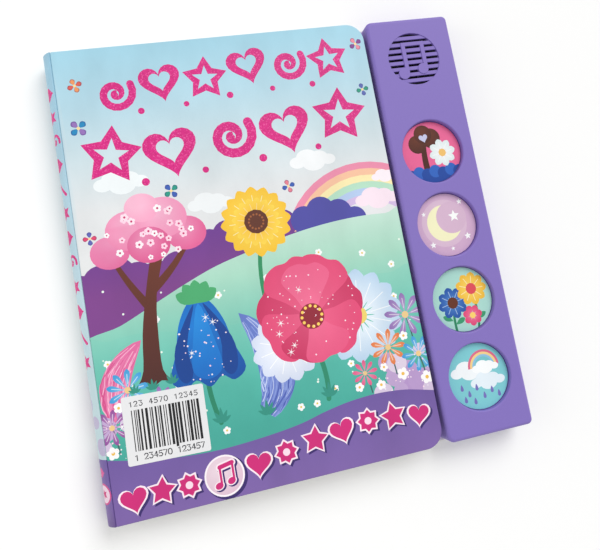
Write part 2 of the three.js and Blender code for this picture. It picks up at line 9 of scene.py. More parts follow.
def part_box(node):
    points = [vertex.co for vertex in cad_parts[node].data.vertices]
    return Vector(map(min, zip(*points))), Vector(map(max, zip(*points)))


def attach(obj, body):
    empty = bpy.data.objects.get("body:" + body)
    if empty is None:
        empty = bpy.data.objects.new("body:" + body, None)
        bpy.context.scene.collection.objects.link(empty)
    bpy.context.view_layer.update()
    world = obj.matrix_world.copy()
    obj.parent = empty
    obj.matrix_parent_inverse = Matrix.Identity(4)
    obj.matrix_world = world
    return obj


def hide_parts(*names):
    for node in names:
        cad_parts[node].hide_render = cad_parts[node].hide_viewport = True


# A sound board book lying closed. Sizes are in millimetres and become metres when a mesh is made.
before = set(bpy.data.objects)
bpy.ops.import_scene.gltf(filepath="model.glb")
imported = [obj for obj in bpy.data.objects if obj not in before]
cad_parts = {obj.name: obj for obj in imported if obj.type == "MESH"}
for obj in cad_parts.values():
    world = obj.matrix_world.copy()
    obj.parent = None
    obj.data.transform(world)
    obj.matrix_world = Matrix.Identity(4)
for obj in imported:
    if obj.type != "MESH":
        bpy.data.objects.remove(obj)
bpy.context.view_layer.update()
mm = 0.001
print("frame loaded")


# colours

def linear(color):
    # screen colour 0-255 to the linear value that shaders take
    return tuple(
        c / 12.92 if c <= 0.04045 else ((c + 0.055) / 1.055) ** 2.4
        for c in (part / 255 for part in color)
    )


def mixed(low, high, share):
    share = min(max(share, 0), 1)
    return tuple(a + (b - a) * share for a, b in zip(low, high))


def ramp(stops, axis=1):
    # ink that changes along the sheet: stops are (place, colour)
    def ink(point):
        place = point[axis]
        for (a, low), (b, high) in zip(stops, stops[1:]):
            if place <= b:
                return mixed(low, high, (place - a) / (b - a))
        return stops[-1][1]
    return ink


def glow(u, v, reach, middle, rim):
    # ink that changes outwards from a point
    def ink(point):
        return mixed(middle, rim, math.hypot(point[0] - u, point[1] - v) / reach)
    return ink


# outlines on a sheet, as lists of (u, v)

def around(u, v, reach, angle):
    # the point at a distance and an angle in degrees
    return u + reach * math.cos(math.radians(angle)), v + reach * math.sin(math.radians(angle))


def placed(points, u, v, turn=0.0):
    # an outline about the origin, turned and moved to (u, v)
    c, s = math.cos(math.radians(turn)), math.sin(math.radians(turn))
    return [(u + x * c - y * s, v + x * s + y * c) for x, y in points]


def disc(u, v, radius, sides=20, stretch=1.0, turn=0.0):
    angles = [2 * math.pi * i / sides for i in range(sides)]
    return placed([(radius * math.cos(a), radius * stretch * math.sin(a)) for a in angles], u, v, turn)


def petal(u, v, length, width, turn, blunt=0.6, steps=8):
    # leaf or petal that grows from (u, v); blunt is how far along it is widest
    power = math.log(0.5) / math.log(blunt)
    side = []
    for i in range(1, steps):
        t = (1 - math.cos(math.pi * i / steps)) / 2
        side.append((length * t, width / 2 * math.sin(math.pi * t ** power) ** 0.72))
    return placed([(0, 0)] + [(x, -y) for x, y in side] + [(length, 0)] + side[::-1], u, v, turn)


def rounded(points, steps=4):
    # smooth closed line through the points
    ring, count = [], len(points)
    for i in range(count):
        a, b, c, d = (points[(i + k) % count] for k in (-1, 0, 1, 2))
        for n in range(steps):
            t = n / steps
            ring.append(tuple(0.5 * (2 * q + (r - p) * t + (2 * p - 5 * q + 4 * r - s) * t * t
                                     + (3 * q - p - 3 * r + s) * t ** 3) for p, q, r, s in zip(a, b, c, d)))
    return ring


def heart(u, v, size, turn=0.0, steps=22):
    ring = []
    for i in range(steps):
        t = 2 * math.pi * (i + 0.5) / steps
        height = 13 * math.cos(t) - 5 * math.cos(2 * t) - 2 * math.cos(3 * t) - math.cos(4 * t)
        ring.append((size * 0.5 * math.sin(t) ** 3, size / 32 * height))
    return placed(ring, u, v, turn)


def star(u, v, outer, inner, points=5, turn=90.0):
    return [around(u, v, inner if i % 2 else outer, turn + 180 * i / points) for i in range(2 * points)]


def box(u0, v0, u1, v1):
    return [(u0, v0), (u1, v0), (u1, v1), (u0, v1)]


def between(start, end, step):
    # points along a line
    count = max(2, int(math.dist(start, end) / step))
    return [tuple(a + (b - a) * (i / count) for a, b in zip(start, end)) for i in range(count + 1)]


def bend(start, pull, end, steps=10):
    # quadratic curve that leans towards the middle point
    return [
        tuple((1 - t) ** 2 * a + 2 * t * (1 - t) * b + t * t * c for a, b, c in zip(start, pull, end))
        for t in (i / steps for i in range(steps + 1))
    ]


def spiral(u, v, radius, turns, start=0.0, steps=30):
    path = []
    for i in range(steps + 1):
        t = i / steps
        angle = math.radians(start) + 2 * math.pi * turns * t
        path.append((u + radius * t * math.cos(angle), v + radius * t * math.sin(angle)))
    return path


def inflated(outline, reach):
    # the outline moved outwards along its corner normals
    count = len(outline)
    side = 1 if signedArea(outline) > 0 else -1
    grown = []
    for i in range(count):
        (x0, y0), (x1, y1), (x2, y2) = outline[i - 1], outline[i], outline[(i + 1) % count]
        ax, ay, bx, by = x1 - x0, y1 - y0, x2 - x1, y2 - y1
        a, b = max(math.hypot(ax, ay), 1e-9), max(math.hypot(bx, by), 1e-9)
        nx, ny = ay / a + by / b, -ax / a - bx / b
        size = math.hypot(nx, ny)
        scale = side * reach * 2 / max(size, 1.1) ** 2
        grown.append((x1 + nx * scale, y1 + ny * scale))
    return grown


def paint(art, outline, ink, glitter=0.0):
    art.append((outline, ink, glitter))


def bothSides(path, half):
    # the path moved to its left and its right, by what half gives for each point
    last = len(path) - 1
    left, right = [], []
    for i, (x, y) in enumerate(path):
        (x0, y0), (x1, y1) = path[max(i - 1, 0)], path[min(i + 1, last)]
        size = max(math.hypot(x1 - x0, y1 - y0), 1e-9)
        nx, ny = (y0 - y1) / size * half(i), (x1 - x0) / size * half(i)
        left.append((x + nx, y + ny))
        right.append((x - nx, y - ny))
    return left, right


def brush(art, path, width, ink, glitter=0.0, taper=0.0):
    # round-ended line as one outline; taper thins it towards its end
    last = len(path) - 1

    def half(i):
        return width / 2 * (1 - taper * i / last)

    left, right = bothSides(path, half)
    caps = []
    for end, other in ((last, last - 1), (0, 1)):
        (x, y), (x0, y0) = path[end], path[other]
        angle = math.atan2(y - y0, x - x0)
        count = 1 if width < 1 else 5  # thin lines end in a point
        turns = [angle + math.pi * (0.5 - (k + 1) / (count + 1)) for k in range(count)]
        caps.append([(x + half(end) * math.cos(t), y + half(end) * math.sin(t)) for t in turns])
    paint(art, left + caps[0] + right[::-1] + caps[1], ink, glitter)


def ringStroke(art, outline, width, ink, inner, glitter=0.0):
    # outline drawn as a broad line, with the inner field laid back over its middle
    paint(art, inflated(outline, width / 2), ink, glitter)
    paint(art, inflated(outline, -width / 2), inner)


# printed boards: a flat sheet cut into fields of ink, with a rounded cut edge

def signedArea(ring):
    return sum(a[0] * b[1] - b[0] * a[1] for a, b in zip(ring, ring[1:] + ring[:1]))


def boardOutline(plan, inset, steps=10):
    # plan: x0, y0, x1, y1 and the radii of the low left, low right, high right and high left corners
    x0, y0, x1, y1, radii = plan
    corners = [(x0, y0, 180), (x1, y0, 270), (x1, y1, 0), (x0, y1, 90)]
    ring = []
    for (x, y, start), radius in zip(corners, radii):
        cx = x + radius if x == x0 else x - radius
        cy = y + radius if y == y0 else y - radius
        ring += [around(cx, cy, radius - inset, start + 90 * i / steps) for i in range(steps + 1)]
    return ring


def outward(plan, point):
    x0, y0, x1, y1, radii = plan
    x, y = point
    centres = [(x0 + radii[0], y0 + radii[0], -1, -1), (x1 - radii[1], y0 + radii[1], 1, -1),
               (x1 - radii[2], y1 - radii[2], 1, 1), (x0 + radii[3], y1 - radii[3], -1, 1)]
    for cx, cy, sx, sy in centres:
        dx, dy = x - cx, y - cy
        if dx * sx > -1e-4 and dy * sy > -1e-4:
            size = math.hypot(dx, dy)
            if size > 1e-6:
                return dx / size, dy / size
    sides = [(x - x0, (-1, 0)), (x1 - x, (1, 0)), (y - y0, (0, -1)), (y1 - y, (0, 1))]
    return min(sides)[1]


def partition(outlines, lines=(), holes=0):
    # splits overlapping outlines into triangles; each gets the number of the topmost outline round it,
    # or -1 outside the first outline and inside the next ones, which are holes
    points, faces, edges = [], [], []
    for outline in outlines:
        ring = outline if signedArea(outline) > 0 else outline[::-1]
        faces.append(list(range(len(points), len(points) + len(ring))))
        points += [Vector(p) for p in ring]
    for a, b in lines:
        edges.append((len(points), len(points) + 1))
        points += [Vector(a), Vector(b)]
    corners, _, triangles, sources, _, _ = delaunay_2d_cdt(points, edges, faces, 0, 1e-5)
    corners = [tuple(c) for c in corners]
    middles = np.array([[sum(corners[i][k] for i in t) / 3 for k in (0, 1)] for t in triangles])
    top = np.full(len(triangles), -1)
    for number, outline in enumerate(outlines):
        ring = np.array(outline)
        low, high = ring.min(0), ring.max(0)
        near = np.nonzero(((middles >= low) & (middles <= high)).all(1))[0]
        x, y = middles[near, 0][:, None], middles[near, 1][:, None]
        (ax, ay), (bx, by) = ring.T, np.roll(ring, -1, 0).T
        slope = (bx - ax) / np.where(by == ay, 1, by - ay)
        crossed = ((ay > y) != (by > y)) & (x < ax + (y - ay) * slope)
        inside = near[crossed.sum(1) % 2 == 1]
        if number == 0:
            top[inside] = 0
        else:
            top[inside[top[inside] >= 0]] = -1 if number <= holes else number
    return corners, triangles, sources, top


def linked(name, data, place=(0, 0, 0), turn=(0, 0, 0)):
    # object in the scene, with its place in metres and its turn in radians
    thing = bpy.data.objects.new(name, data)
    thing.location, thing.rotation_euler = place, turn
    bpy.context.scene.collection.objects.link(thing)
    return thing


class Shell:
    # vertices with sheet places, and faces with ink, glitter, a material slot and smoothing
    def __init__(self):
        self.points, self.places, self.faces = [], [], []

    def point(self, place, at):
        self.places.append(place)
        self.points.append(at)
        return len(self.points) - 1

    def face(self, corners, ink, glitter=0.0, slot=0, smooth=False):
        self.faces.append((corners, ink, glitter, slot, smooth))

    def fill(self, index, triangles, top, inks, flipped, slot=0):
        # a face for each triangle that has an owner; gives the triangles kept and the ink of each of their edges
        kept, owner = [], {}
        for triangle, number in zip(triangles, top):
            if number < 0:
                continue
            a, b, c = [index[i] for i in triangle]
            kept.append((a, b, c))
            self.face((a, c, b) if flipped else (a, b, c), *inks[number], slot)
            for edge in ((a, b), (b, c), (c, a)):
                owner[edge] = inks[number]
        return kept, owner

    def build(self, name, materials):
        mesh = bpy.data.meshes.new(name)
        used = sorted({corner for face in self.faces for corner in face[0]})
        number = {corner: i for i, corner in enumerate(used)}
        mesh.from_pydata([Vector(self.points[i]) * mm for i in used], [],
                         [[number[corner] for corner in face[0]] for face in self.faces])
        mesh.attributes.new("ink", "FLOAT_VECTOR", "CORNER")
        mesh.attributes.new("glitter", "FLOAT", "CORNER")
        inks, glitters = [], []
        for corners, ink, glitter, _, _ in self.faces:
            for corner in corners:
                color = ink(self.places[corner]) if callable(ink) else ink
                inks += linear(color)
                glitters.append(glitter)
        mesh.attributes["ink"].data.foreach_set("vector", inks)
        mesh.attributes["glitter"].data.foreach_set("value", glitters)
        for polygon, (_, _, _, slot, smooth) in zip(mesh.polygons, self.faces):
            polygon.material_index = slot
            polygon.use_smooth = smooth
        for material in materials:
            mesh.materials.append(material)
        mesh.validate()
        return linked(name, mesh)


def loopsOf(triangles):
    # directed border loops of a triangle list
    pairs = {}
    for a, b, c in triangles:
        for edge in ((a, b), (b, c), (c, a)):
            if edge[::-1] in pairs:
                del pairs[edge[::-1]]
            else:
                pairs[edge] = True
    following = {a: b for a, b in pairs}
    loops = []
    while following:
        start = next(iter(following))
        loop, at = [start], following.pop(start)
        while at != start:
            loop.append(at)
            at = following.pop(at)
        loops.append(loop)
    return loops


def onSheet(art, origin):
    return [[(u + origin[0], v + origin[1]) for u, v in outline] for outline, _, _ in art]


def inksOf(base, holes, art):
    # ink and glitter of each outline of a partition
    return [(base, 0.0)] + [(None, 0.0)] * holes + [(ink, glitter) for _, ink, glitter in art]


def edgeProfile(radius, thickness):
    # the cut edge as reach, drop and material slot; its straight part draws in a little
    steps, drawnIn = [i / 4 * math.pi / 2 for i in range(1, 5)], 0.02
    profile = [(radius * math.sin(t), radius * (1 - math.cos(t)), 0) for t in steps]
    profile += [(radius - drawnIn, thickness - radius, 1)]
    profile += [(radius * math.cos(t), thickness - radius + radius * math.sin(t), 1) for t in steps[:-1]]
    return profile + [(0.0, thickness, 1)]


def borderNormals(shell, loop, plan, openings):
    # directions away from the board along one border, which is the board's own or an opening's
    xs, ys = [shell.points[i][0] for i in loop], [shell.points[i][1] for i in loop]
    hole = next((o for o in openings if min(xs) > o[0] - 1 and max(xs) < o[2] + 1
                 and min(ys) > o[1] - 1 and max(ys) < o[3] + 1), None)
    normals = [outward(hole or plan, shell.points[i][:2]) for i in loop]
    return [(-nx, -ny) for nx, ny in normals] if hole else normals


def edgeRings(shell, loop, normals, profile, level, sign, owner, wrapCrease):
    # the cut edge below one border; gives its last ring
    above = loop
    for reach, drop, slot in profile:
        below = []
        for i, (nx, ny) in zip(loop, normals):
            x, y, _ = shell.points[i]
            below.append(shell.point(shell.places[i], (x + nx * reach, y + ny * reach, level - sign * drop)))
        for k in range(len(loop)):
            n = (k + 1) % len(loop)
            quad = (above[k], below[k], below[n], above[n])
            wrapped = wrapCrease and normals[k][0] < -0.9
            shell.face(quad if sign > 0 else quad[::-1], *owner[(loop[k], loop[n])], 0 if wrapped else slot, True)
        above = below
    return above


def farOutlines(shell, rings):
    # the last rings, the board's own first, as one list of points and as outlines
    outlines = [[shell.points[i][:2] for i in ring] for ring in rings]
    areas = [abs(signedArea(points)) for points in outlines]
    outer = areas.index(max(areas))
    known, turned = [], []
    for i in [outer] + [i for i in range(len(rings)) if i != outer]:
        way = 1 if signedArea(outlines[i]) > 0 else -1
        known += rings[i][::way]
        turned.append(outlines[i][::way])
    return known, turned


def printedBoard(name, plan, face, back, art, materials, radius=0.35, base=(255, 255, 255), backArt=(),
                 backBase=(255, 255, 255), openings=(), guides=(), sheetOrigin=(0, 0), wrapCrease=False):
    # face and back are levels; the print is on the face, the second material is the cut edge
    sign = 1 if face > back else -1
    ox, oy = sheetOrigin
    outlines = [boardOutline(plan, radius)] + [boardOutline(o, -radius) for o in openings]
    corners, triangles, _, top = partition(outlines + onSheet(art, sheetOrigin), guides, len(openings))
    shell = Shell()
    index = [shell.point((x - ox, y - oy), (x, y, face)) for x, y in corners]
    kept, owner = shell.fill(index, triangles, top, inksOf(base, len(openings), art), sign < 0)
    profile = edgeProfile(radius, abs(face - back))
    rings = []
    for loop in loopsOf(kept):
        normals = borderNormals(shell, loop, plan, openings)
        rings.append(edgeRings(shell, loop, normals, profile, face, sign, owner, wrapCrease))
    # the far face, joined to the last rings
    ringIndex, outlines = farOutlines(shell, rings)
    holes = len(rings) - 1
    corners, triangles, sources, top = partition(outlines + onSheet(backArt, sheetOrigin), (), holes)
    index = []
    for (x, y), numbers in zip(corners, sources):
        known = [n for n in numbers if n < len(ringIndex)]
        index.append(ringIndex[known[0]] if known else shell.point((x - ox, y - oy), (x, y, back)))
    farSlot = 2 if len(materials) > 2 else 1
    shell.fill(index, triangles, top, inksOf(backBase, holes, backArt), sign > 0, farSlot)
    return shell.build(name, materials)


def sizeOf(name):
    # low and high corner of a CAD node in millimetres
    return (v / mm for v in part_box(name))


def rowLines(low, high, levels):
    # straight cuts across a sheet, which keep its triangles short
    return [((low, v), (high, v)) for v in levels]


def merged(name, parts):
    # several separate solids as one object
    with bpy.context.temp_override(active_object=parts[0], selected_editable_objects=parts, object=parts[0]):
        bpy.ops.object.join()
    parts[0].name = name
    return parts[0]


def handOver(piece, body, node):
    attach(piece, body)
    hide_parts(node)


# shared shader groups

def newGroup(name, inputs, outputs):
    group = bpy.data.node_groups.new(name, "ShaderNodeTree")
    for label, kind, value in inputs:
        socket = group.interface.new_socket(label, in_out="INPUT", socket_type=kind)
        if value is not None:
            socket.default_value = value
    for label, kind in outputs:
        group.interface.new_socket(label, in_out="OUTPUT", socket_type=kind)
    return group, group.nodes.new("NodeGroupInput"), group.nodes.new("NodeGroupOutput")


def addNode(tree, kind, **settings):
    node = tree.nodes.new(kind)
    for key, value in settings.items():
        setattr(node, key, value)
    return node


def objectNoise(tree, scale, detail, stretch=(1, 1, 1), scaleFrom=None):
    # noise on the piece's own coordinates; the stretch and the scale can come from sockets
    where = addNode(tree, "ShaderNodeTexCoord")
    turn = addNode(tree, "ShaderNodeMapping")
    noise = addNode(tree, "ShaderNodeTexNoise")
    wire(tree, (where.outputs["Object"], turn.inputs["Vector"]), (turn.outputs["Vector"], noise.inputs["Vector"]),
         (scaleFrom or scale, noise.inputs["Scale"]), (detail, noise.inputs["Detail"]))
    if isinstance(stretch, tuple):
        turn.inputs["Scale"].default_value = stretch
    else:
        wire(tree, (stretch, turn.inputs["Scale"]))
    return noise


def wire(tree, *pairs):
    # each pair feeds a node's output, or a number, to an input
    for value, socket in pairs:
        if isinstance(value, (int, float)):
            socket.default_value = value
        else:
            tree.links.new(value, socket)


def rangeOf(tree, value, low, high, fromLow=0.3, fromHigh=0.7):
    node = addNode(tree, "ShaderNodeMapRange")
    given = {"Value": value, "From Min": fromLow, "From Max": fromHigh, "To Min": low, "To Max": high}
    wire(tree, *[(number, node.inputs[label]) for label, number in given.items()])
    return node.outputs["Result"]


def mathNode(tree, operation, first, second):
    node = addNode(tree, "ShaderNodeMath", operation=operation)
    wire(tree, (first, node.inputs[0]), (second, node.inputs[1]))
    return node.outputs[0]


def swing(tree, noise, middle, amount):
    # the noise as a value from the middle less the amount to the middle plus the amount
    low, high = (mathNode(tree, operation, middle, amount) for operation in ("SUBTRACT", "ADD"))
    return rangeOf(tree, noise.outputs["Fac"], low, high)


def scaledColor(tree, color, level):
    node = addNode(tree, "ShaderNodeVectorMath", operation="SCALE")
    wire(tree, (color, node.inputs[0]), (level, node.inputs["Scale"]))
    return node.outputs[0]


def bumpOf(tree, noise, strength, distance):
    node = addNode(tree, "ShaderNodeBump")
    wire(tree, (distance, node.inputs["Distance"]), (strength, node.inputs["Strength"]),
         (noise.outputs["Fac"], node.inputs["Height"]))
    return node.outputs["Normal"]


def brushedInkGroup():
    # soft light and dark patches, as in painted areas
    group, given, result = newGroup(
        "brushedInk",
        [("Color", "NodeSocketColor", None), ("Amount", "NodeSocketFloat", 0.06), ("Scale", "NodeSocketFloat", 60.0)],
        [("Color", "NodeSocketColor")],
    )
    noise = objectNoise(group, 60, 5, (1, 0.55, 1), given.outputs["Scale"])
    level = swing(group, noise, 1.0, given.outputs["Amount"])
    wire(group, (scaledColor(group, given.outputs["Color"], level), result.inputs["Color"]))
    return group


def glossFilmGroup():
    # laminated surface: faint smears in the gloss and a very fine unevenness
    group, given, result = newGroup(
        "glossFilm",
        [("Roughness", "NodeSocketFloat", 0.35), ("Smear", "NodeSocketFloat", 0.06), ("Bump", "NodeSocketFloat", 0.05)],
        [("Roughness", "NodeSocketFloat"), ("Normal", "NodeSocketVector")],
    )
    smear = swing(group, objectNoise(group, 45, 4), given.outputs["Roughness"], given.outputs["Smear"])
    fine = bumpOf(group, objectNoise(group, 700, 2), given.outputs["Bump"], 0.00015)
    wire(group, (smear, result.inputs["Roughness"]), (fine, result.inputs["Normal"]))
    return group


def glitterGlintSpecksGroup():
    # bright and dark specks about half a millimetre wide: painted glints of glitter flakes and painted shade of flakes
    # that catch no light
    group, given, result = newGroup(
        "glitterGlintSpecks",
        [("Amount", "NodeSocketFloat", 1.0), ("Scale", "NodeSocketFloat", 1500.0)],
        [("Bright", "NodeSocketFloat"), ("Dark", "NodeSocketFloat")],
    )
    where = addNode(group, "ShaderNodeTexCoord")
    cells = addNode(group, "ShaderNodeTexVoronoi")
    parts = addNode(group, "ShaderNodeSeparateColor")
    wire(group, (1.0, cells.inputs["Randomness"]), (where.outputs["Object"], cells.inputs["Vector"]),
         (given.outputs["Scale"], cells.inputs["Scale"]), (cells.outputs["Color"], parts.inputs["Color"]))
    for channel, label, low, high in (("Red", "Bright", 0.78, 1.0), ("Green", "Dark", 0.6, 0.95)):
        level = rangeOf(group, parts.outputs[channel], 0.0, 1.0, low, high)
        wire(group, (mathNode(group, "MULTIPLY", level, given.outputs["Amount"]), result.inputs[label]))
    return group


def fineGrainGroup():
    # colour and height grain for cut board, paper, plastic and metal
    group, given, result = newGroup(
        "fineGrain",
        [("Color", "NodeSocketColor", None), ("Amount", "NodeSocketFloat", 0.05), ("Scale", "NodeSocketFloat", 400.0),
         ("Stretch", "NodeSocketVector", (1, 1, 1)), ("Bump", "NodeSocketFloat", 0.1),
         ("Roughness", "NodeSocketFloat", 0.5)],
        [("Color", "NodeSocketColor"), ("Roughness", "NodeSocketFloat"), ("Normal", "NodeSocketVector")],
    )
    noise = objectNoise(group, 400, 4, given.outputs["Stretch"], given.outputs["Scale"])
    level = swing(group, noise, 1.0, given.outputs["Amount"])
    wire(group, (scaledColor(group, given.outputs["Color"], level), result.inputs["Color"]),
         (mathNode(group, "MULTIPLY", given.outputs["Roughness"], level), result.inputs["Roughness"]),
         (bumpOf(group, noise, given.outputs["Bump"], 0.0002), result.inputs["Normal"]))
    return group


brushedInk = brushedInkGroup()
glossFilm = glossFilmGroup()
glitterGlintSpecks = glitterGlintSpecksGroup()
fineGrain = fineGrainGroup()


# materials

def place(tree, group, **values):
    node = addNode(tree, "ShaderNodeGroup", node_tree=group)
    for label, value in values.items():
        node.inputs[label].default_value = value
    return node


def newMaterial(name, specular):
    material = bpy.data.materials.new(name)
    material.use_nodes = True
    shader = material.node_tree.nodes["Principled BSDF"]
    shader.inputs["Specular IOR Level"].default_value = specular
    return material, material.node_tree, shader


def printedPaper(name, roughness, variation, specular=0.5):
    # ink and glitter come from the mesh's own attributes
    material, tree, shader = newMaterial(name, specular)
    ink = addNode(tree, "ShaderNodeAttribute", attribute_name="ink")
    glitter = addNode(tree, "ShaderNodeAttribute", attribute_name="glitter")
    patches = place(tree, brushedInk, Amount=variation, Scale=55.0)
    film = place(tree, glossFilm, Roughness=roughness, Smear=0.05, Bump=0.06)
    glintSpecks = place(tree, glitterGlintSpecks, Scale=2100.0)
    tone = addNode(tree, "ShaderNodeGamma")
    dark = addNode(tree, "ShaderNodeMix", data_type="RGBA", blend_type="MIX")
    bright = addNode(tree, "ShaderNodeMix", data_type="RGBA", blend_type="MIX")
    # the sockets 0, 6 and 7 of a colour mix are its share and its two colours; output 2 is the result
    # painted shade and painted glints of the glitter: a darker and a lighter pink mixed in at the specks
    dark.inputs[7].default_value = (*linear((178, 20, 104)), 1)
    bright.inputs[7].default_value = (*linear((240, 96, 166)), 1)
    wire(tree, (1.13, tone.inputs["Gamma"]), (ink.outputs["Color"], tone.inputs["Color"]),
         (tone.outputs[0], patches.inputs["Color"]), (glitter.outputs["Fac"], glintSpecks.inputs["Amount"]),
         (mathNode(tree, "MULTIPLY", glintSpecks.outputs["Dark"], 0.55), dark.inputs[0]),
         (patches.outputs["Color"], dark.inputs[6]), (glintSpecks.outputs["Bright"], bright.inputs[0]),
         (dark.outputs[2], bright.inputs[6]), (bright.outputs[2], shader.inputs["Base Color"]),
         (film.outputs["Roughness"], shader.inputs["Roughness"]), (film.outputs["Normal"], shader.inputs["Normal"]))
    return material


def grained(name, color, roughness, amount=0.05, scale=400.0, bump=0.1, stretch=(1, 1, 1), metallic=0.0, specular=0.5):
    material, tree, shader = newMaterial(name, specular)
    shader.inputs["Metallic"].default_value = metallic
    grain = place(tree, fineGrain, Color=(*linear(color), 1), Amount=amount, Scale=scale, Stretch=stretch,
                  Bump=bump, Roughness=roughness)
    wire(tree, (grain.outputs["Color"], shader.inputs["Base Color"]),
         (grain.outputs["Roughness"], shader.inputs["Roughness"]), (grain.outputs["Normal"], shader.inputs["Normal"]))
    return material


coverPaper = printedPaper("coverPaper", 0.46, 0.06, 0.4)
insidePaper = printedPaper("insidePaper", 0.5, 0.03)
pictureFoil = printedPaper("pictureFoil", 0.4, 0.04, 0.25)
labelPaper = printedPaper("labelPaper", 0.6, 0.015, 0.3)
boardCore = grained("boardCore", (226, 223, 219), 0.8, 0.09, 900.0, 0.5, (0.25, 0.25, 1.6), specular=0.2)
shellPlastic = grained("shellPlastic", (130, 111, 187), 0.5, 0.012, 1400.0, 0.12, specular=0.35)
capPlastic = grained("capPlastic", (104, 80, 158), 0.45, 0.02, 900.0, 0.08)
innerPlastic = grained("innerPlastic", (132, 112, 186), 0.5, 0.03, 900.0, 0.12)
domeRubber = grained("domeRubber", (196, 200, 205), 0.75, 0.04, 700.0, 0.15, specular=0.3)
circuitGreen = grained("circuitGreen", (38, 98, 66), 0.4, 0.12, 500.0, 0.1)
epoxyBlack = grained("epoxyBlack", (20, 20, 22), 0.28, 0.05, 300.0, 0.3)
plainSteel = grained("plainSteel", (190, 192, 196), 0.32, 0.08, 900.0, 0.1, (1, 6, 1), metallic=1.0)
blackSteel = grained("blackSteel", (16, 14, 20), 0.6, 0.12, 600.0, 0.2, specular=0.25)
magnetFerrite = grained("magnetFerrite", (72, 74, 78), 0.55, 0.1, 700.0, 0.2, metallic=0.6)
conePaper = grained("conePaper", (24, 22, 28), 0.85, 0.15, 900.0, 0.4, specular=0.2)
redSleeve = grained("redSleeve", (178, 40, 44), 0.5, 0.04, 600.0, 0.1)
blackSleeve = grained("blackSleeve", (26, 26, 28), 0.5, 0.06, 600.0, 0.1)
print("materials ready")


# camera, floor and light
studio = {
    "cameraPlace": (-0.06028, -0.02129, 0.31639),
    "cameraTurn": (8.526, -10.9033, -10.4642),
    "lens": 37.487,
    "shiftX": -0.0017,
    "shiftY": -0.099,
    "floorSize": 6.0,
    "floorColor": (253, 253, 252),
    "floorDrop": 0.0004,
    "skyLevel": 0.652,
    "sunLevel": 1.49,
    "sunSpread": 38.0,
    "sunFrom": (0.62, 0.84, 1.0),
    "sideLevel": 1.1,
    "sidePlace": (-0.75, 0.1, 0.32),
    "sideSize": 0.5,
    "seenLevel": 0.985,
}


def setStudio():
    scene = bpy.context.scene
    scene.view_settings.view_transform = "Standard"
    lens = bpy.data.cameras.new("bookCamera")
    lens.sensor_width = 36.0
    lens.lens = studio["lens"]
    lens.shift_x, lens.shift_y = studio["shiftX"], studio["shiftY"]
    lens.clip_start, lens.clip_end = 0.005, 20.0
    turn = [math.radians(a) for a in studio["cameraTurn"]]
    scene.camera = linked("bookCamera", lens, studio["cameraPlace"], turn)
    half = studio["floorSize"] / 2
    mesh = bpy.data.meshes.new("floor")
    low = -studio["floorDrop"]
    mesh.from_pydata([(u, v, low) for u, v in box(-half, -half, half, half)], [], [(0, 1, 2, 3)])
    paper, _, shader = newMaterial("floorPaper", 0.1)
    shader.inputs["Base Color"].default_value = (*linear(studio["floorColor"]), 1)
    shader.inputs["Roughness"].default_value = 0.9
    mesh.materials.append(paper)
    linked("floor", mesh)
    sun = bpy.data.lights.new("softSun", "SUN")
    sun.energy = studio["sunLevel"]
    sun.angle = math.radians(studio["sunSpread"])
    linked("softSun", sun, turn=Vector(studio["sunFrom"]).to_track_quat("Z", "Y").to_euler())
    side = bpy.data.lights.new("sideCard", "AREA")
    side.energy = studio["sideLevel"]
    side.size = studio["sideSize"]
    linked("sideCard", side, studio["sidePlace"], Vector(studio["sidePlace"]).to_track_quat("Z", "Y").to_euler())
    world = bpy.data.worlds.new("paleRoom")
    scene.world = world
    world.use_nodes = True
    tree = world.node_tree
    room = tree.nodes["Background"]
    room.inputs["Color"].default_value = (1, 1, 1, 1)
    room.inputs["Strength"].default_value = studio["skyLevel"]
    seen = addNode(tree, "ShaderNodeBackground")
    seen.inputs["Color"].default_value = (*[studio["seenLevel"]] * 3, 1)
    seen.inputs["Strength"].default_value = 1.0
    path = addNode(tree, "ShaderNodeLightPath")
    shows = mathNode(tree, "MAXIMUM", path.outputs["Is Glossy Ray"], path.outputs["Is Transmission Ray"])
    shows = mathNode(tree, "MAXIMUM", path.outputs["Is Camera Ray"], shows)
    mix = addNode(tree, "ShaderNodeMixShader")
    wire(tree, (shows, mix.inputs[0]), (room.outputs[0], mix.inputs[1]), (seen.outputs[0], mix.inputs[2]),
         (mix.outputs[0], tree.nodes["World Output"].inputs["Surface"]))


setStudio()
print("camera, floor and light set")


# inks shared by the printed pieces
magenta = (218, 34, 138)
deepPink = (210, 46, 128)
plum = (62, 42, 112)
bandTop = (121, 98, 166)
bandLow = (134, 108, 172)
white = (250, 250, 250)
farHedge = (86, 84, 168)
paleLilac = (214, 206, 226)
leafPaper = (236, 232, 226)
skyLow = (168, 212, 228)
skyInk = ramp([(110, (229, 230, 230)), (140, (228, 230, 231)), (165, (208, 224, 229)),
               (190, (187, 218, 230)), (220, skyLow)])
meadowInk = ramp([(28, (84, 178, 164)), (55, (98, 188, 174)), (75, (132, 203, 186)), (100, (176, 220, 200)),
                  (120, (200, 228, 214))])
bandInk = ramp([(0, bandLow), (30, bandTop)])
hedgeInk = ramp([(100, (134, 74, 146)), (128, (116, 66, 152)), (140, (104, 62, 150))])


def discs(art, places, ink, sides=22):
    for u, v, radius in places:
        paint(art, disc(u, v, radius, sides), ink)


def dotRing(art, u, v, reach, count, radius, ink, sides):
    for i in range(count):
        paint(art, disc(*around(u, v, reach, 360 * i / count), radius, sides), ink)


def daisy(art, u, v, radius, petals, width, rim, middle, heartInk, turn=0.0, blunt=0.7, centre=0.22):
    # ring of petals, each light at the root and dark at the tip, round a small centre
    for i in range(petals):
        angle = turn + 360 * i / petals
        paint(art, petal(u, v, radius, width, angle, blunt), glow(u, v, radius, middle, rim))
        if radius > 7:
            brush(art, [around(u, v, radius * k, angle) for k in (0.3, 0.75)], 0.35, mixed(middle, white, 0.5))
    paint(art, disc(u, v, radius * centre, 12), heartInk)


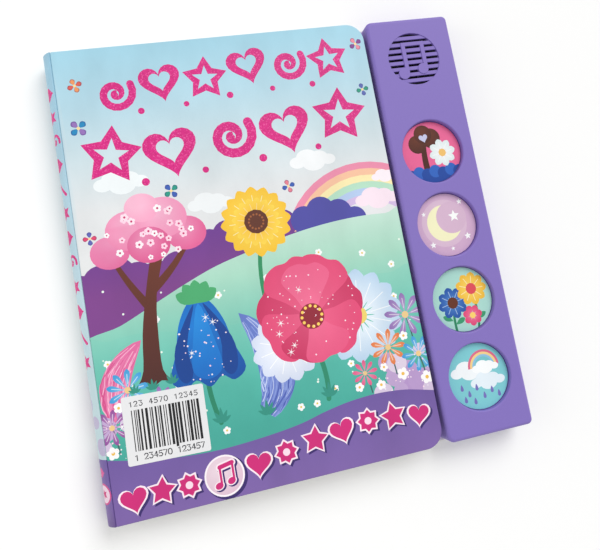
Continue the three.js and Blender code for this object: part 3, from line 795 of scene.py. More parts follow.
def blossom(art, u, v, radius, ink=white, middle=(236, 196, 74), turn=0.0):
    # small five-petalled flower
    for i in range(5):
        paint(art, disc(*around(u, v, radius * 0.55, turn + 72 * i), radius * 0.42, 9), ink)
    paint(art, disc(u, v, radius * 0.28, 8), middle)


def cross(art, u, v, size, inks, turn):
    # four equal petals of two colours round a pale centre
    for i in range(4):
        angle = turn + 90 * i
        paint(art, petal(u, v, size, size * 0.72, angle, 0.68), mixed(inks[i % 2], plum, 0.3))
        paint(art, petal(u, v, size * 0.88, size * 0.5, angle, 0.68), inks[i % 2])
    paint(art, disc(u, v, size * 0.2, 10), (250, 226, 168))


def tuft(art, u, v, size, ink):
    for i in range(5):
        paint(art, petal(u, v, size * (1 - 0.14 * abs(i - 2)), size * 0.26, 150 - 30 * i, 0.4), ink)


def cloud(art, u, v, size, ink=(246, 248, 249)):
    for du, dv, radius in ((-1.1, 0, 0.55), (-0.4, 0.3, 0.75), (0.4, 0.2, 0.65), (1.05, 0, 0.5), (0, -0.1, 0.8)):
        paint(art, disc(u + du * size, v + dv * size, radius * size, 18, 0.72), ink)


def sparkles(art, u, v, reachU, reachV, count, seed, big=2):
    # white dots and a few pointed lights, kept inside an oval
    draw = random.Random(seed)
    for i in range(count):
        angle, far = draw.uniform(0, 2 * math.pi), math.sqrt(draw.uniform(0, 1))
        x, y = u + reachU * far * math.cos(angle), v + reachV * far * math.sin(angle)
        if i < big:
            paint(art, star(x, y, draw.uniform(1.6, 2.3), 0.35, 6, draw.uniform(0, 60)), white)
        else:
            paint(art, disc(x, y, draw.uniform(0.18, 0.45), 7), mixed(white, (255, 214, 230), draw.random()))


def plume(art, root, pull, tip, width, inks, count, seed, thin=0.75):
    # a soft tuft of grass: a full curved body that ends in a point, under many thin strands
    draw = random.Random(seed)
    left, right = bothSides(bend(root, pull, tip, 16),
                            lambda i: width / 2 * math.sin(math.pi * (0.12 + 0.88 * i / 16)) ** 0.7)
    paint(art, left + right[::-1], inks[0])
    for i in range(count):
        off = draw.uniform(-0.5, 0.5)
        start, end = draw.randrange(0, 5), draw.randrange(10, 17)
        strand = []
        for k in range(start, end):
            (lx, ly), (rx, ry) = left[k], right[k]
            share = 0.5 + off * (0.9 + 0.15 * math.sin(k * 0.9 + i))
            strand.append((lx + (rx - lx) * share, ly + (ry - ly) * share))
        brush(art, strand, draw.uniform(0.5, 1.0) * thin, inks[1 + draw.randrange(len(inks) - 1)], taper=0.5)


def badge(art, outline, grown, ink, shadow=(0.9, -0.9)):
    # field with a white rim and a dark shadow
    paint(art, [(x + shadow[0], y + shadow[1]) for x, y in grown], plum)
    paint(art, grown, (252, 236, 244))
    paint(art, outline, ink)


def doubleNote(art, u, v, size, ink, grow=0.0):
    # two beamed notes
    width = 0.16 * size + 2 * grow
    for x, y in ((-0.3, -0.42), (0.32, -0.3)):
        paint(art, disc(u + x * size, v + y * size, 0.2 * size + grow, 14, 0.8, 20), ink)
    for x, y in ((-0.17, -0.42), (0.45, -0.3)):
        brush(art, [(u + x * size, v + y * size), (u + x * size, v + (y + 0.85) * size)], width * 0.7, ink)
    brush(art, [(u - 0.17 * size, v + 0.43 * size), (u + 0.45 * size, v + 0.55 * size)], width * 1.3, ink)


# front board; u runs from the crease, v from the tail edge
cover = {
    "width": 157.2,
    "height": 220.0,
    "corner": 9.0,
    "creaseCorner": 0.8,
    "edge": 0.4,
    "bandWave": [(-2, 29.0), (7, 27.1), (20, 24.4), (32, 23.1), (46, 22.3), (59, 22.6), (75, 23.8), (89, 25.6),
                 (100, 28.2), (111, 30.2), (120, 31.1), (128, 31.4), (136, 31.0), (143, 30.2), (150, 28.7),
                 (160, 26.2)],
    "badgePlace": (49.7, 10.6),
    "badgeRadius": 9.2,
    "glitter": 1.0,
}


def titleMotifs(art):
    # two rows of glitter shapes, with dots below each
    ink, shine = magenta, cover["glitter"]
    top = [(27, 196, "curl"), (49, 200, "heart"), (71, 199, "star"), (93, 204, "heart"), (114, 202, "curl"),
           (135.5, 202.5, "star")]
    low = [(21, 166, "star"), (49, 165, "heart"), (79, 168, "curl"), (107, 169, "heart"), (136, 172, "star")]
    for row, size, width in ((top, 17.5, 4.0), (low, 22.5, 5.2)):
        for i, (u, v, kind) in enumerate(row):
            turn = (-9, 7, -4, 10, -6, 5)[i]
            if kind == "heart":
                paint(art, heart(u, v, size + width * 0.7, turn, 34), ink, shine)
                paint(art, heart(u, v + width * 0.1, size - width * 1.7, turn, 30), skyInk)
            elif kind == "star":
                ringStroke(art, star(u, v, size * 0.52, size * 0.26, 5, 90 + turn), width * 0.82, ink, skyInk, shine)
            else:
                brush(art, spiral(u, v, size * 0.5, 1.55, 200 + turn, 26), width * 0.9, ink, shine)
    dots = [(38, 186, 1.6), (60, 187, 1.4), (82, 189, 1.7), (104, 190, 1.4), (125, 190, 1.6), (35, 151, 1.9),
            (64, 153, 1.6), (93, 155, 2.0), (122, 157, 1.6)]
    for u, v, radius in dots:
        paint(art, disc(u, v, radius, 14), ink, shine)


def gardenGround(art):
    # arch of soft colours, hedge and two hills
    arch = ((46, (236, 150, 178)), (42.6, (247, 200, 168)), (39.2, (250, 236, 184)), (35.8, (188, 226, 202)),
            (32.4, (186, 206, 236)), (29, (214, 192, 228)), (25.6, (229, 230, 231)))
    for radius, ink in arch:
        paint(art, disc(141, 100, radius, 44), ink)
    discs(art, ((-2, 102, 10), (8, 107, 8), (17, 110, 7), (25, 106, 8), (34, 104, 9), (52, 112, 7), (60, 117, 7),
                (69, 120, 7), (78, 122, 7.5), (88, 123, 7), (97, 121, 7)), hedgeInk)
    paint(art, box(-4, 70, 50, 104), hedgeInk)
    paint(art, disc(44, 107, 9, 22), hedgeInk)
    paint(art, box(44, 90, 104, 116), hedgeInk)
    discs(art, ((108, 121, 7), (117, 124, 7.5), (126, 122, 7), (134, 118, 6)), farHedge)
    paint(art, box(103, 96, 139, 119), farHedge)
    cloud(art, 148, 126, 7.5, (246, 228, 238))
    cloud(art, 154, 137, 4.5, (250, 240, 246))
    far = [(-8, 50), (166, 50), (164, 116), (150, 118), (135, 118.5), (118, 117.5), (100, 115), (82, 111), (62, 106),
           (46, 100), (30, 93), (14, 86), (-6, 79)]
    paint(art, rounded(far, 6), meadowInk)
    near = [(-8, 8), (166, 8), (162, 84), (146, 88), (128, 88), (108, 84), (88, 80), (66, 77), (44, 78), (24, 81),
            (8, 80), (-4, 76)]
    paint(art, rounded(near, 6), ramp([(28, (78, 174, 160)), (50, (92, 186, 171)), (70, (122, 200, 184)),
                                       (88, (150, 211, 193))]))
    draw = random.Random(11)
    for _ in range(34):
        u, v = draw.uniform(2, 155), draw.uniform(36, 104)
        paint(art, disc(u, v, draw.uniform(0.35, 0.6), 8), (236, 246, 236))
    for u, v in ((18, 74), (30, 86), (60, 92), (112, 104), (134, 100), (146, 76), (108, 38), (98, 33), (118, 48),
                 (6, 70), (54, 30), (84, 96), (148, 92), (126, 58), (90, 33)):
        blossom(art, u, v, 1.9, white, (236, 206, 96), u * 7)


def blossomTree(art):
    bark = ramp([(60, (84, 40, 32)), (100, (108, 54, 38)), (140, (124, 66, 44))])
    trunk = [(17.5, 57), (21.5, 58.5), (25, 56.5), (28.5, 58.2), (33, 57.5), (29.8, 63), (30, 78), (32, 97), (38, 118),
             (33, 118), (27, 98), (23, 80), (21, 64)]
    paint(art, rounded(trunk, 3), bark)
    brush(art, bend((28, 92), (20, 104), (15, 116), 7), 4.0, bark, taper=0.5)
    brush(art, bend((31, 100), (42, 108), (50, 120), 7), 4.2, bark, taper=0.5)
    crowns = ((14, 120, 9, (230, 120, 168)), (50, 124, 9.5, (226, 108, 158)), (24, 129, 11, (236, 140, 180)),
              (40, 133, 11.5, (240, 154, 190)), (32, 121, 10, (222, 100, 152)), (31, 139, 8, (246, 176, 204)))
    for u, v, radius, ink in crowns:
        paint(art, disc(u, v, radius, 26, 0.86), glow(u - 2, v + 3, radius * 1.2, mixed(ink, white, 0.35), ink))
    draw = random.Random(5)
    for _ in range(26):
        angle, far = draw.uniform(0, 2 * math.pi), math.sqrt(draw.random())
        blossom(art, 32 + 22 * far * math.cos(angle), 127 + 13 * far * math.sin(angle), draw.uniform(1.3, 2.1),
                mixed((255, 214, 230), white, draw.random()), (206, 60, 120), draw.uniform(0, 72))


def plumes(art):
    pinks = [(226, 118, 168), (238, 152, 190), (214, 88, 146), (250, 196, 218), (232, 130, 176)]
    blues = [(112, 132, 200), (146, 164, 222), (86, 104, 182), (196, 208, 240), (124, 142, 208)]
    plume(art, (8, 44), (2, 62), (22, 78), 13, pinks, 46, 3)
    plume(art, (74, 34), (92, 52), (68, 82), 17, blues, 70, 9, 0.85)


def bellFlower(art):
    brush(art, bend((52, 34), (49, 44), (49, 54), 6), 2.2, (46, 140, 110))
    blue, deep = (0, 104, 190), (0, 74, 152)
    bell = rounded([(32.5, 57), (38.5, 52), (44, 55), (50, 51), (56, 55), (61.5, 52), (67.5, 57), (63.5, 69),
                    (60.5, 81), (55.5, 90), (50, 93), (44.5, 90), (39.5, 81), (36.5, 69)])
    paint(art, bell, glow(46, 80, 42, (22, 134, 214), deep))
    for middle, half, ink in ((39.5, 3.6, deep), (60.5, 3.6, deep), (50, 6.8, glow(48, 84, 42, (40, 150, 224), blue))):
        fold = rounded([(50 + (middle - 50) * 0.2, 90), (middle - half * 0.75, 72), (middle - half, 59), (middle, 54.5),
                        (middle + half, 59), (middle + half * 0.75, 72)])
        paint(art, fold, ink)
    for i in range(5):
        paint(art, petal(50, 90, 11, 6, 30 + 30 * i, 0.6), (84, 176, 120))
    sparkles(art, 50, 68, 13, 17, 42, 21, 3)


def sunflowerAndBlooms(art):
    brush(art, bend((83, 78), (80, 96), (84, 112), 7), 2.0, (56, 150, 104))
    daisy(art, 84, 124, 17.5, 16, 7.5, (246, 200, 60), (250, 226, 110), (112, 60, 36), 0, 0.7, 0.36)
    daisy(art, 84, 124, 12, 16, 4.6, (252, 220, 92), (246, 190, 60), (104, 54, 34), 11, 0.7, 0.5)
    dotRing(art, 84, 124, 3.6, 14, 0.55, (170, 104, 60), 7)
    # a white and a pale blue bloom behind the poppy
    daisy(art, 126, 70, 23, 14, 9.5, (190, 214, 236), (246, 250, 252), (238, 214, 120), 6, 0.75, 0.2)
    daisy(art, 88, 62, 17, 12, 8, (214, 222, 240), (250, 251, 253), (232, 206, 120), 12, 0.75, 0.18)


def poppy(art):
    brush(art, bend((104, 34), (106, 44), (103, 56), 7), 2.4, (50, 146, 116))
    coral, rose = (226, 84, 128), (206, 62, 108)
    lobe = [(0, 0), (0.4, -0.3), (0.75, -0.52), (0.97, -0.3), (0.96, -0.08), (1.0, 0.12), (0.93, 0.36), (0.7, 0.5),
            (0.4, 0.28)]
    for angle, length, width, ink in ((150, 27, 27, rose), (30, 27, 27, rose), (112, 30, 27, coral),
                                      (68, 30, 27, coral), (205, 25, 26, coral), (-25, 25, 26, coral),
                                      (90, 26, 24, (236, 108, 148)), (250, 22, 24, rose),
                                      (290, 22, 24, (232, 98, 140))):
        outline = rounded(placed([(x * length, y * width) for x, y in lobe], 103, 74, angle))
        paint(art, outline, glow(103, 74, length, mixed(ink, (255, 170, 190), 0.3), ink))
    paint(art, disc(103, 74, 6.2, 20), (150, 40, 60))
    dotRing(art, 103, 74, 5, 12, 0.8, (252, 214, 110), 8)
    sparkles(art, 103, 76, 24, 22, 64, 33, 5)


def flowerBeds(art):
    draw = random.Random(17)
    for low, high, top in ((-2, 34, 47), (128, 160, 50)):
        for _ in range(13):
            u, v = draw.uniform(low, high), draw.uniform(26, top)
            ink = mixed((186, 156, 204), (226, 214, 230), draw.random())
            paint(art, disc(u, v, draw.uniform(3.2, 6.5), 18, 0.9), ink)
    for u, v, radius, ink, turn in ((150, 66, 11, (152, 120, 182), 10), (138, 52, 9, (228, 130, 74), 0),
                                    (153, 46, 9, (70, 160, 214), 20), (13, 57, 9.5, (70, 162, 216), 5),
                                    (27, 49, 7, (158, 112, 184), 15), (4, 42, 8, (150, 84, 158), 0),
                                    (124, 42, 6.5, (226, 96, 142), 8)):
        brush(art, bend((u + 2, v - radius * 1.5), (u + 1.5, v - radius * 0.6), (u, v), 5), 0.7, (70, 110, 110))
        daisy(art, u, v, radius, 9, radius * 0.3, ink, mixed(ink, white, 0.45), (238, 206, 150), turn, 0.75, 0.16)
    for u, v, radius in ((143, 38, 3.2), (131, 35, 2.6), (155, 34, 3.4), (147, 56, 2.4), (3, 31, 3.0), (18, 35, 2.8),
                         (27, 31, 3.2), (36, 36, 2.6), (8, 50, 2.4), (120, 36, 2.4), (134, 43, 2.2)):
        blossom(art, u, v, radius, (252, 250, 250), (240, 196, 96), u * 9)
    for seed, u in ((41, 14), (43, 146)):
        sparkles(art, u, 38, 16, 11, 34, seed, 1)


def wavyBand(art):
    wave = cover["bandWave"]
    paint(art, rounded([(-8, -14), (166, -14), (166, 24)] + wave[::-1] + [(-8, 29.6)]), bandInk)
    u, v = cover["badgePlace"]
    radius = cover["badgeRadius"]
    paint(art, disc(u + 0.9, v - 0.9, radius + 0.4, 36), plum)
    paint(art, disc(u, v, radius, 36), (252, 244, 248))
    paint(art, disc(u, v, radius - 0.8, 36), glow(u - 2, v + 3, radius * 1.3, (240, 222, 230), (224, 196, 212)))
    doubleNote(art, u + 0.4, v - 0.5, 9.4, plum, 0.8)
    doubleNote(art, u - 0.2, v, 9.4, (252, 236, 244), 0.55)
    doubleNote(art, u - 0.2, v, 9.4, deepPink)
    row = [(9, 9.8, 11.6, "heart"), (21.5, 10.6, 10.8, "star"), (33.5, 10.2, 10, "flower"), (66, 12.4, 11.6, "heart"),
           (79.5, 14.4, 10.2, "flower"), (94, 17.0, 11.2, "star"), (107.5, 18.4, 11.6, "heart"),
           (121, 19.8, 10.4, "flower"), (134, 19.4, 11.2, "star"), (147, 17.6, 10.6, "heart")]
    for i, (x, y, size, kind) in enumerate(row):
        turn = (6, -8, 10, -5)[i % 4]
        if kind == "heart":
            outline, grown = heart(x, y, size, turn, 28), heart(x, y - 0.1, size + 1.9, turn, 28)
        else:
            outline = (star(x, y, size * 0.56, size * 0.29, 5, 90 + turn) if kind == "star"
                       else star(x, y, size * 0.5, size * 0.37, 8, turn))
            grown = inflated(outline, 0.75)
        badge(art, outline, grown, deepPink)
        if kind == "flower":
            paint(art, disc(x, y, size * 0.17, 12), (252, 226, 238))


def coverArt():
    art = []
    cloud(art, 24, 152, 8, (240, 245, 246))
    cloud(art, 64, 136, 7, (240, 243, 244))
    cloud(art, 118, 150, 7.5, (242, 244, 245))
    for layer in (gardenGround, titleMotifs, blossomTree, plumes, bellFlower, sunflowerAndBlooms, poppy, flowerBeds):
        layer(art)
    for u, v, size, inks, turn in (
        (9, 202, 3.6, ((222, 104, 90), (240, 160, 104)), 20),
        (152, 209, 3.7, ((142, 74, 150), (236, 150, 166)), 30),
        (8, 181, 4.4, ((34, 146, 196), (158, 124, 190)), 40),
        (151, 184, 3.4, ((40, 160, 130), (96, 112, 182)), 10),
        (46, 145, 3.8, ((40, 160, 140), (66, 104, 184)), 35),
        (103, 139, 3.4, ((66, 104, 184), (232, 136, 150)), 15),
        (6, 128, 3.2, ((226, 80, 120), (104, 110, 186)), 0),
    ):
        cross(art, u, v, size, inks, turn)
    for u, v, size in ((52.5, 34, 7), (105, 35, 7), (24, 55, 5), (33, 56, 5), (74, 33, 7), (16, 55, 4.5)):
        tuft(art, u, v, size, (58, 152, 136))
    wavyBand(art)
    return art


def coverGuides():
    # cuts across and along the board, which keep its triangles short; they end before its edges
    (x0, y0), (x1, y1) = ([part / mm for part in corner[:2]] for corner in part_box("front_cover"))
    short, across, along = 2, 10, 26
    rows = rowLines(x0 + short, x1 - short, [y0 + v for v in range(across, 220, across)])
    return rows + [((x0 + u, y0 + short), (x0 + u, y1 - short)) for u in range(along, 150, along)]


def insideArt(width, height, seed):
    # inner face: hearts, stars and dots in rows, each a little out of place
    art = []
    draw = random.Random(seed)
    columns, rows = 8, 11
    for i in range(columns * rows):
        u = (i % columns + 0.5 + draw.uniform(-0.14, 0.14)) * width / columns
        v = (i // columns + 0.5 + draw.uniform(-0.14, 0.14)) * height / rows
        ink = mixed((196, 164, 218), (240, 176, 206), draw.random())
        kind = (i + i // columns) % 3
        if kind == 0:
            paint(art, heart(u, v, 7.5, draw.uniform(-25, 25), 20), ink)
        elif kind == 1:
            paint(art, star(u, v, 4.2, 1.9, 5, draw.uniform(0, 72)), ink)
        else:
            paint(art, disc(u, v, 1.5, 14), ink)
    return art


def makeFrontBoard():
    low, high = sizeOf("front_cover")
    radii = (cover["creaseCorner"], cover["corner"], cover["corner"], cover["creaseCorner"])
    plan = (low.x, low.y, high.x, high.y, radii)
    board = printedBoard(
        "front_board", plan, high.z, low.z, coverArt(), [coverPaper, boardCore, insidePaper], cover["edge"], skyInk,
        insideArt(cover["width"], cover["height"], 2), (226, 214, 234), guides=coverGuides(),
        sheetOrigin=(low.x, low.y), wrapCrease=True)
    handOver(board, "front_cover", "front_cover")
    print("front board printed:", len(board.data.polygons), "faces")


makeFrontBoard()


# label, wrapped spine, leaves and back board
label = {"width": 37.0, "height": 30.3, "turn": -1.4, "barLow": 5.9, "barHigh": 24.0, "seed": 8}

# strokes of the digits on a field four wide and six high
digitPaths = {
    "0": (((1, 0), (0, 1.5), (0, 4.5), (1, 6), (3, 6), (4, 4.5), (4, 1.5), (3, 0), (1.2, 0)),),
    "1": (((0.8, 4.8), (2.4, 6), (2.4, 0)),),
    "2": (((0, 4.6), (1, 6), (3, 6), (4, 4.6), (3.4, 3), (0, 0), (4, 0)),),
    "3": (((0, 6), (4, 6), (1.8, 3.6), (3.4, 3.2), (4, 1.8), (3, 0), (1, 0), (0, 1)),),
    "4": (((3, 6), (3, 0)), ((2.8, 6), (0.2, 1.8), (4.3, 1.8))),
    "5": (((4, 6), (0.6, 6), (0.2, 3.4), (2.6, 3.7), (4, 2.4), (4, 1.4), (2.8, 0), (0, 0.4)),),
    "7": (((0, 6), (4, 6), (1.4, 0)),),
}


def labelArt():
    # upright bars of uneven width between two rows of digits
    art = []
    draw = random.Random(label["seed"])
    half = label["width"] / 2
    x, right = -half + 3.8, half - 3.0
    while x < right:
        width = draw.choice((0.42, 0.42, 0.6, 0.8, 1.15))
        tall = draw.random() < 0.12
        low = label["barLow"] - (1.2 if tall else 0) - label["height"] / 2
        paint(art, box(x, low, x + width, label["barHigh"] - label["height"] / 2), (26, 26, 30))
        x += width + draw.choice((0.36, 0.42, 0.6, 0.85))
    for text, row, size in (("123 4570 12345", label["barHigh"] + 1.6, 0.36),
                            ("1 234570 123457", label["barLow"] - 3.9, 0.4)):
        step = (label["width"] - 5.4) / len(text)
        for i, digit in enumerate(text):
            if digit == " ":
                continue
            left, foot = -half + 3.2 + i * step, row - label["height"] / 2
            for path in digitPaths[digit]:
                brush(art, [(left + x * size, foot + y * size) for x, y in path], size * 1.15, (62, 62, 68))
    return art


def makeLabel():
    low, high = sizeOf("price_label")
    half, tall = label["width"] / 2, label["height"] / 2
    plan = (-half, -tall, half, tall, (1.0, 1.0, 1.0, 1.0))
    piece = printedBoard("label", plan, high.z, low.z, labelArt(), [labelPaper, labelPaper], 0.03, (234, 234, 235),
                         backBase=(240, 240, 238))
    middle = (low + high) / 2 * mm
    turned = Matrix.Rotation(math.radians(label["turn"]), 4, "Z")
    piece.data.transform(Matrix.Translation((middle.x, middle.y, 0)) @ turned)
    handOver(piece, "front_cover", "price_label")


spine = {"radius": 8.691, "thickness": 1.4, "middleX": -97.0594, "middleZ": 7.5, "reach": 57.35, "steps": 26}


def spineArt():
    # s runs down the arc from the front board to the back board; v from the tail edge
    art = []
    arc = 2 * math.radians(spine["reach"]) * spine["radius"]
    draw = random.Random(23)
    for _ in range(9):
        paint(art, disc(draw.uniform(1, arc - 1), draw.uniform(32, 62), draw.uniform(2.5, 4.5), 14),
              mixed((184, 156, 204), (206, 224, 220), draw.random()))
    upper = arc * 0.27
    marks = ["heart", "star", "curl", "heart", "dash", "star", "heart", "curl", "star", "heart", "dash", "star"]
    for i, kind in enumerate(marks):
        v = 200 - i * 11.6
        if kind == "heart":
            paint(art, heart(upper, v, 7.2, -90, 18), magenta, 1.0)
        elif kind == "star":
            paint(art, star(upper, v, 4.0, 1.9, 5, 0), magenta, 1.0)
        elif kind == "curl":
            brush(art, spiral(upper, v, 3.6, 1.3, 90, 16), 1.4, magenta, 1.0)
        else:
            brush(art, between((upper - 2.8, v - 3), (upper + 2.8, v + 3), 1.2), 1.5, magenta, 1.0)
    paint(art, [(-1, -1), (arc + 1, -1), (arc + 1, 28.4), (arc * 0.5, 29.4), (-1, 29.0)], bandInk)
    paint(art, disc(upper, 14, 4.7, 24), (216, 86, 150))
    paint(art, disc(upper, 14, 3.9, 22), (240, 214, 228))
    paint(art, star(upper, 14, 2.4, 1.1, 5, 0), deepPink)
    paint(art, heart(upper, 23.4, 4.6, -90, 16), (222, 96, 160))
    return art


def makeSpine():
    # the print is cut flat, then wrapped round the arc; the inner skin repeats it
    low, high = sizeOf("spine")
    reach = math.radians(spine["reach"])
    arc = 2 * reach * spine["radius"]
    y0, y1 = low.y, high.y
    outline = box(0, 0, arc, y1 - y0)
    lines = [((arc * i / spine["steps"], 0), (arc * i / spine["steps"], y1 - y0)) for i in range(1, spine["steps"])]
    lines += rowLines(0, arc, range(10, 220, 10))
    art = spineArt()
    corners, triangles, _, top = partition([outline] + [o for o, _, _ in art], lines)
    # base ink of the spine: a printed sky, which towards the head is a darker copy of the cover's sky, painted shade of
    # the curved spine
    inks = [(ramp([(60, (196, 218, 222)), (120, (190, 216, 226)), (220, (158, 200, 220))]), 0.0)]
    inks += [(ink, glitter) for _, ink, glitter in art]
    shell = Shell()
    skins = []
    for radius in (spine["radius"], spine["radius"] - spine["thickness"]):
        skin = []
        for s, v in corners:
            angle = reach - 2 * reach * s / arc
            at = (spine["middleX"] - radius * math.cos(angle), y0 + v, spine["middleZ"] + radius * math.sin(angle))
            skin.append(shell.point((s, v), at))
        skins.append(skin)
    outer, inner = skins
    kept = []
    for triangle, number in zip(triangles, top):
        if number >= 0:
            ink, glitter = inks[number]
            kept.append(tuple(triangle))
            a, b, c = triangle
            shell.face((outer[a], outer[c], outer[b]), ink, glitter, 0, True)
            shell.face((inner[a], inner[b], inner[c]), paleLilac, 0.0, 0, True)
    for loop in loopsOf(kept):
        for a, b in zip(loop, loop[1:] + loop[:1]):
            atCrease = abs(corners[a][0] - corners[b][0]) < 1e-6
            ink = inks[0][0] if corners[a][1] + corners[b][1] > 57 else bandTop
            shell.face((outer[a], outer[b], inner[b], inner[a]), ink, 0.0, 0 if atCrease else 1)
    piece = shell.build("spine_wrap", [coverPaper, boardCore])
    handOver(piece, "book_base", "spine")


leaves = {"count": 6, "thickness": 1.5, "groove": 0.18, "low": 2.4, "corner": 6.0, "edge": 0.22, "spineAir": 0.3,
          "unevenness": 0.12, "seed": 4}


def pageArt():
    # first page: a plain meadow under a sun, with flowers along the bottom
    art = []
    paint(art, disc(34, 176, 17, 40), (252, 222, 120))
    paint(art, disc(34, 176, 13, 36), (254, 236, 160))
    for i in range(14):
        turn = 360 * i / 14
        paint(art, petal(*around(34, 176, 19, turn), 8, 3, turn), (252, 222, 120))
    cloud(art, 84, 188, 11)
    cloud(art, 128, 168, 9)
    cloud(art, 60, 146, 7)
    hills = [[(-8, -8), (168, -8), (162, 90), (128, 101), (96, 104), (60, 98), (30, 102), (-6, 91)],
             [(-8, -8), (168, -8), (162, 67), (120, 62), (84, 70), (44, 76), (-6, 63)]]
    paint(art, rounded(hills[0], 6), (176, 220, 190))
    paint(art, rounded(hills[1], 6), (132, 202, 170))
    inks = ((226, 84, 128), (70, 160, 214), (246, 196, 70), (152, 110, 186), (232, 130, 80))
    for i in range(9):
        u, v = 16 + i * 15.5, 26 + 9 * math.sin(i * 1.7)
        brush(art, bend((u, 6), (u + 2, v * 0.6), (u, v), 6), 1.3, (60, 150, 104))
        daisy(art, u, v, 8.5, 10, 4.2, inks[i % 5], mixed(inks[i % 5], white, 0.5), (252, 230, 150), 8 * i)
    draw = random.Random(31)
    for i in range(22):
        blossom(art, draw.uniform(8, 148), draw.uniform(44, 92), draw.uniform(1.5, 2.6), white, (240, 200, 96), 20 * i)
    return art


def leafPlan(index):
    low, high = sizeOf("page_block")
    bottom = leaves["low"] + index * (leaves["thickness"] + leaves["groove"])
    topLevel = bottom + leaves["thickness"]
    inner = spine["radius"] - spine["thickness"] - leaves["spineAir"]
    away = max(abs(bottom - spine["middleZ"]), abs(topLevel - spine["middleZ"]))
    left = min(spine["middleX"] - math.sqrt(max(inner ** 2 - away ** 2, 0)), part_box("front_cover")[0].x / mm)
    draw = random.Random(leaves["seed"] + index)
    slack = [draw.uniform(0, leaves["unevenness"]) for _ in range(3)]
    plan = (left, low.y + slack[0], high.x - slack[1], high.y - slack[2],
            (0.5, leaves["corner"], leaves["corner"], 0.5))
    return plan, bottom, topLevel


def makeLeaves():
    # the top leaf is the printed first page
    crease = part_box("front_cover")[0].x / mm
    pieces = []
    for index in range(leaves["count"]):
        plan, bottom, topLevel = leafPlan(index)
        name, art, ink, guides = "leaf_%d" % index, [], leafPaper, ()
        if index == leaves["count"] - 1:
            name, art = "first_page", pageArt()
            ink = ramp([(0, (196, 230, 236)), (110, (222, 240, 240)), (220, (160, 212, 232))])
            guides = rowLines(plan[0] + 1, plan[2] - 1, range(-100, 110, 12))
        pieces.append(printedBoard(name, plan, topLevel, bottom, art, [insidePaper, boardCore], leaves["edge"], ink,
                                   backBase=leafPaper, guides=guides, sheetOrigin=(crease, -cover["height"] / 2)))
    for piece in (merged("leaf_stack", pieces[:-1]), pieces[-1]):
        handOver(piece, "book_base", "page_block")


back = {
    "corner": 4.0,
    "creaseCorner": 0.8,
    "edge": 0.35,
    "columns": 10,
    "rows": 11,
    "middle": (96, 112),
    "opening": {"middleX": 81.45, "half": 9.6, "lowY": -50.38, "highY": -0.78, "corner": 3.4},
}


def backArt():
    # scattered hearts and stars round a daisy on a pale oval
    art = []
    draw = random.Random(13)
    middleU, middleV = back["middle"]
    for i in range(back["columns"] * back["rows"]):
        u = 13 + 20 * (i % back["columns"]) + draw.uniform(-4, 4)
        v = 12 + 19.5 * (i // back["columns"]) + draw.uniform(-4, 4)
        if abs(u - middleU) < 48 and abs(v - middleV) < 42:
            continue
        ink = mixed((206, 190, 228), (250, 236, 246), draw.random())
        if i % 2:
            paint(art, heart(u, v, 5.6, draw.uniform(-25, 25), 18), ink)
        else:
            paint(art, star(u, v, 3.2, 1.4, 5, draw.uniform(0, 72)), ink)
    paint(art, disc(middleU, middleV, 40, 60, 0.86), (250, 246, 250))
    daisy(art, middleU, middleV, 27, 12, 12, (232, 110, 156), (250, 190, 214), (250, 216, 120), 0, 0.7, 0.24)
    return art


def makeBackBoard():
    low, high = sizeOf("back_cover")
    opening = back["opening"]
    x, y0, y1 = opening["middleX"], opening["lowY"], opening["highY"]
    hole = (x - opening["half"], y0, x + opening["half"], y1, (opening["corner"],) * 4)
    corner, creaseCorner = back["corner"], back["creaseCorner"]
    plan = (low.x, low.y, high.x, high.y, (creaseCorner, corner, corner, creaseCorner))
    guides = rowLines(low.x + 1, high.x - 1, range(-100, 110, 12))
    ink = ramp([(0, bandLow), (70, (150, 128, 190)), (150, (168, 190, 222)), (220, skyLow)])
    piece = printedBoard("back_board", plan, low.z, high.z, backArt(), [coverPaper, boardCore, insidePaper],
                         back["edge"], ink, backBase=paleLilac, openings=[hole], guides=guides,
                         sheetOrigin=(low.x, low.y), wrapCrease=True)
    handOver(piece, "book_base", "back_cover")


makeLabel()
makeSpine()
makeLeaves()
makeBackBoard()
print("label, spine, leaves and back board made")


# sound module shell: a rounded box with a wall, four windows and a slotted grille around a raised note
module = {
    "cornerInner": 3.8,
    "cornerOuter": 2.8,
    "wall": 1.6,
    "edge": 1.9,
    "edgeSteps": 8,
    "windowRadius": 16.8,
    "windowLip": 0.8,
    "collarWall": 1.2,
    "collarLow": 12.8,
    "windowCutLow": 12,
    "windowYs": (36.366, -2.934, -42.234, -81.534),
    "grilleY": 87.5,
    "grilleRadius": 14.4,
    "grilleRecess": 0.35,
    "slotCount": 9,
    "slotPitch": 3.37,
    "slotHeight": 1.5,
    "stemWidth": 2.1,
    "stems": ((-4.85, -6.9, -7.6, 3.1), (5.95, 4.2, -5.8, 2.9)),
    "bossRadius": 2.5,
    "bossHole": 1.05,
    "bossCutLow": 2,
    "bossPlaces": ((62.85, -105.2, 3.9), (100.05, -105.2, 3.9), (62.85, -22.58, 3.9), (100.05, -22.58, 3.9),
                   (62.85, 105.2, 3.9), (100.05, 105.2, 3.9), (69.95, -61.88, 9.6), (92.95, -22.58, 9.6),
                   (69.95, 16.72, 9.6)),
    "ringRadius": 14.4,
    "ringWall": 1.2,
    "ringDepth": 3.1,
    "wellCutLow": 3,
    "cutPast": 1,
    "barLength": 34.56,
    "barDepth": 6,
    "sharpAngle": 32,
    # how far each fitting sinks into the ceiling, so that no faces coincide
    "sunk": {"collar": 0.8, "boss": 0.5, "ring": 0.6},
    # small differences that keep the note, the slots and the recess from sharing faces
    "beamSpare": 0.03,
    "slotGap": 0.06,
    "slotBelow": 1.5,
    "slotUnderFace": 0.1,
    "lipSpare": 0.001,
}


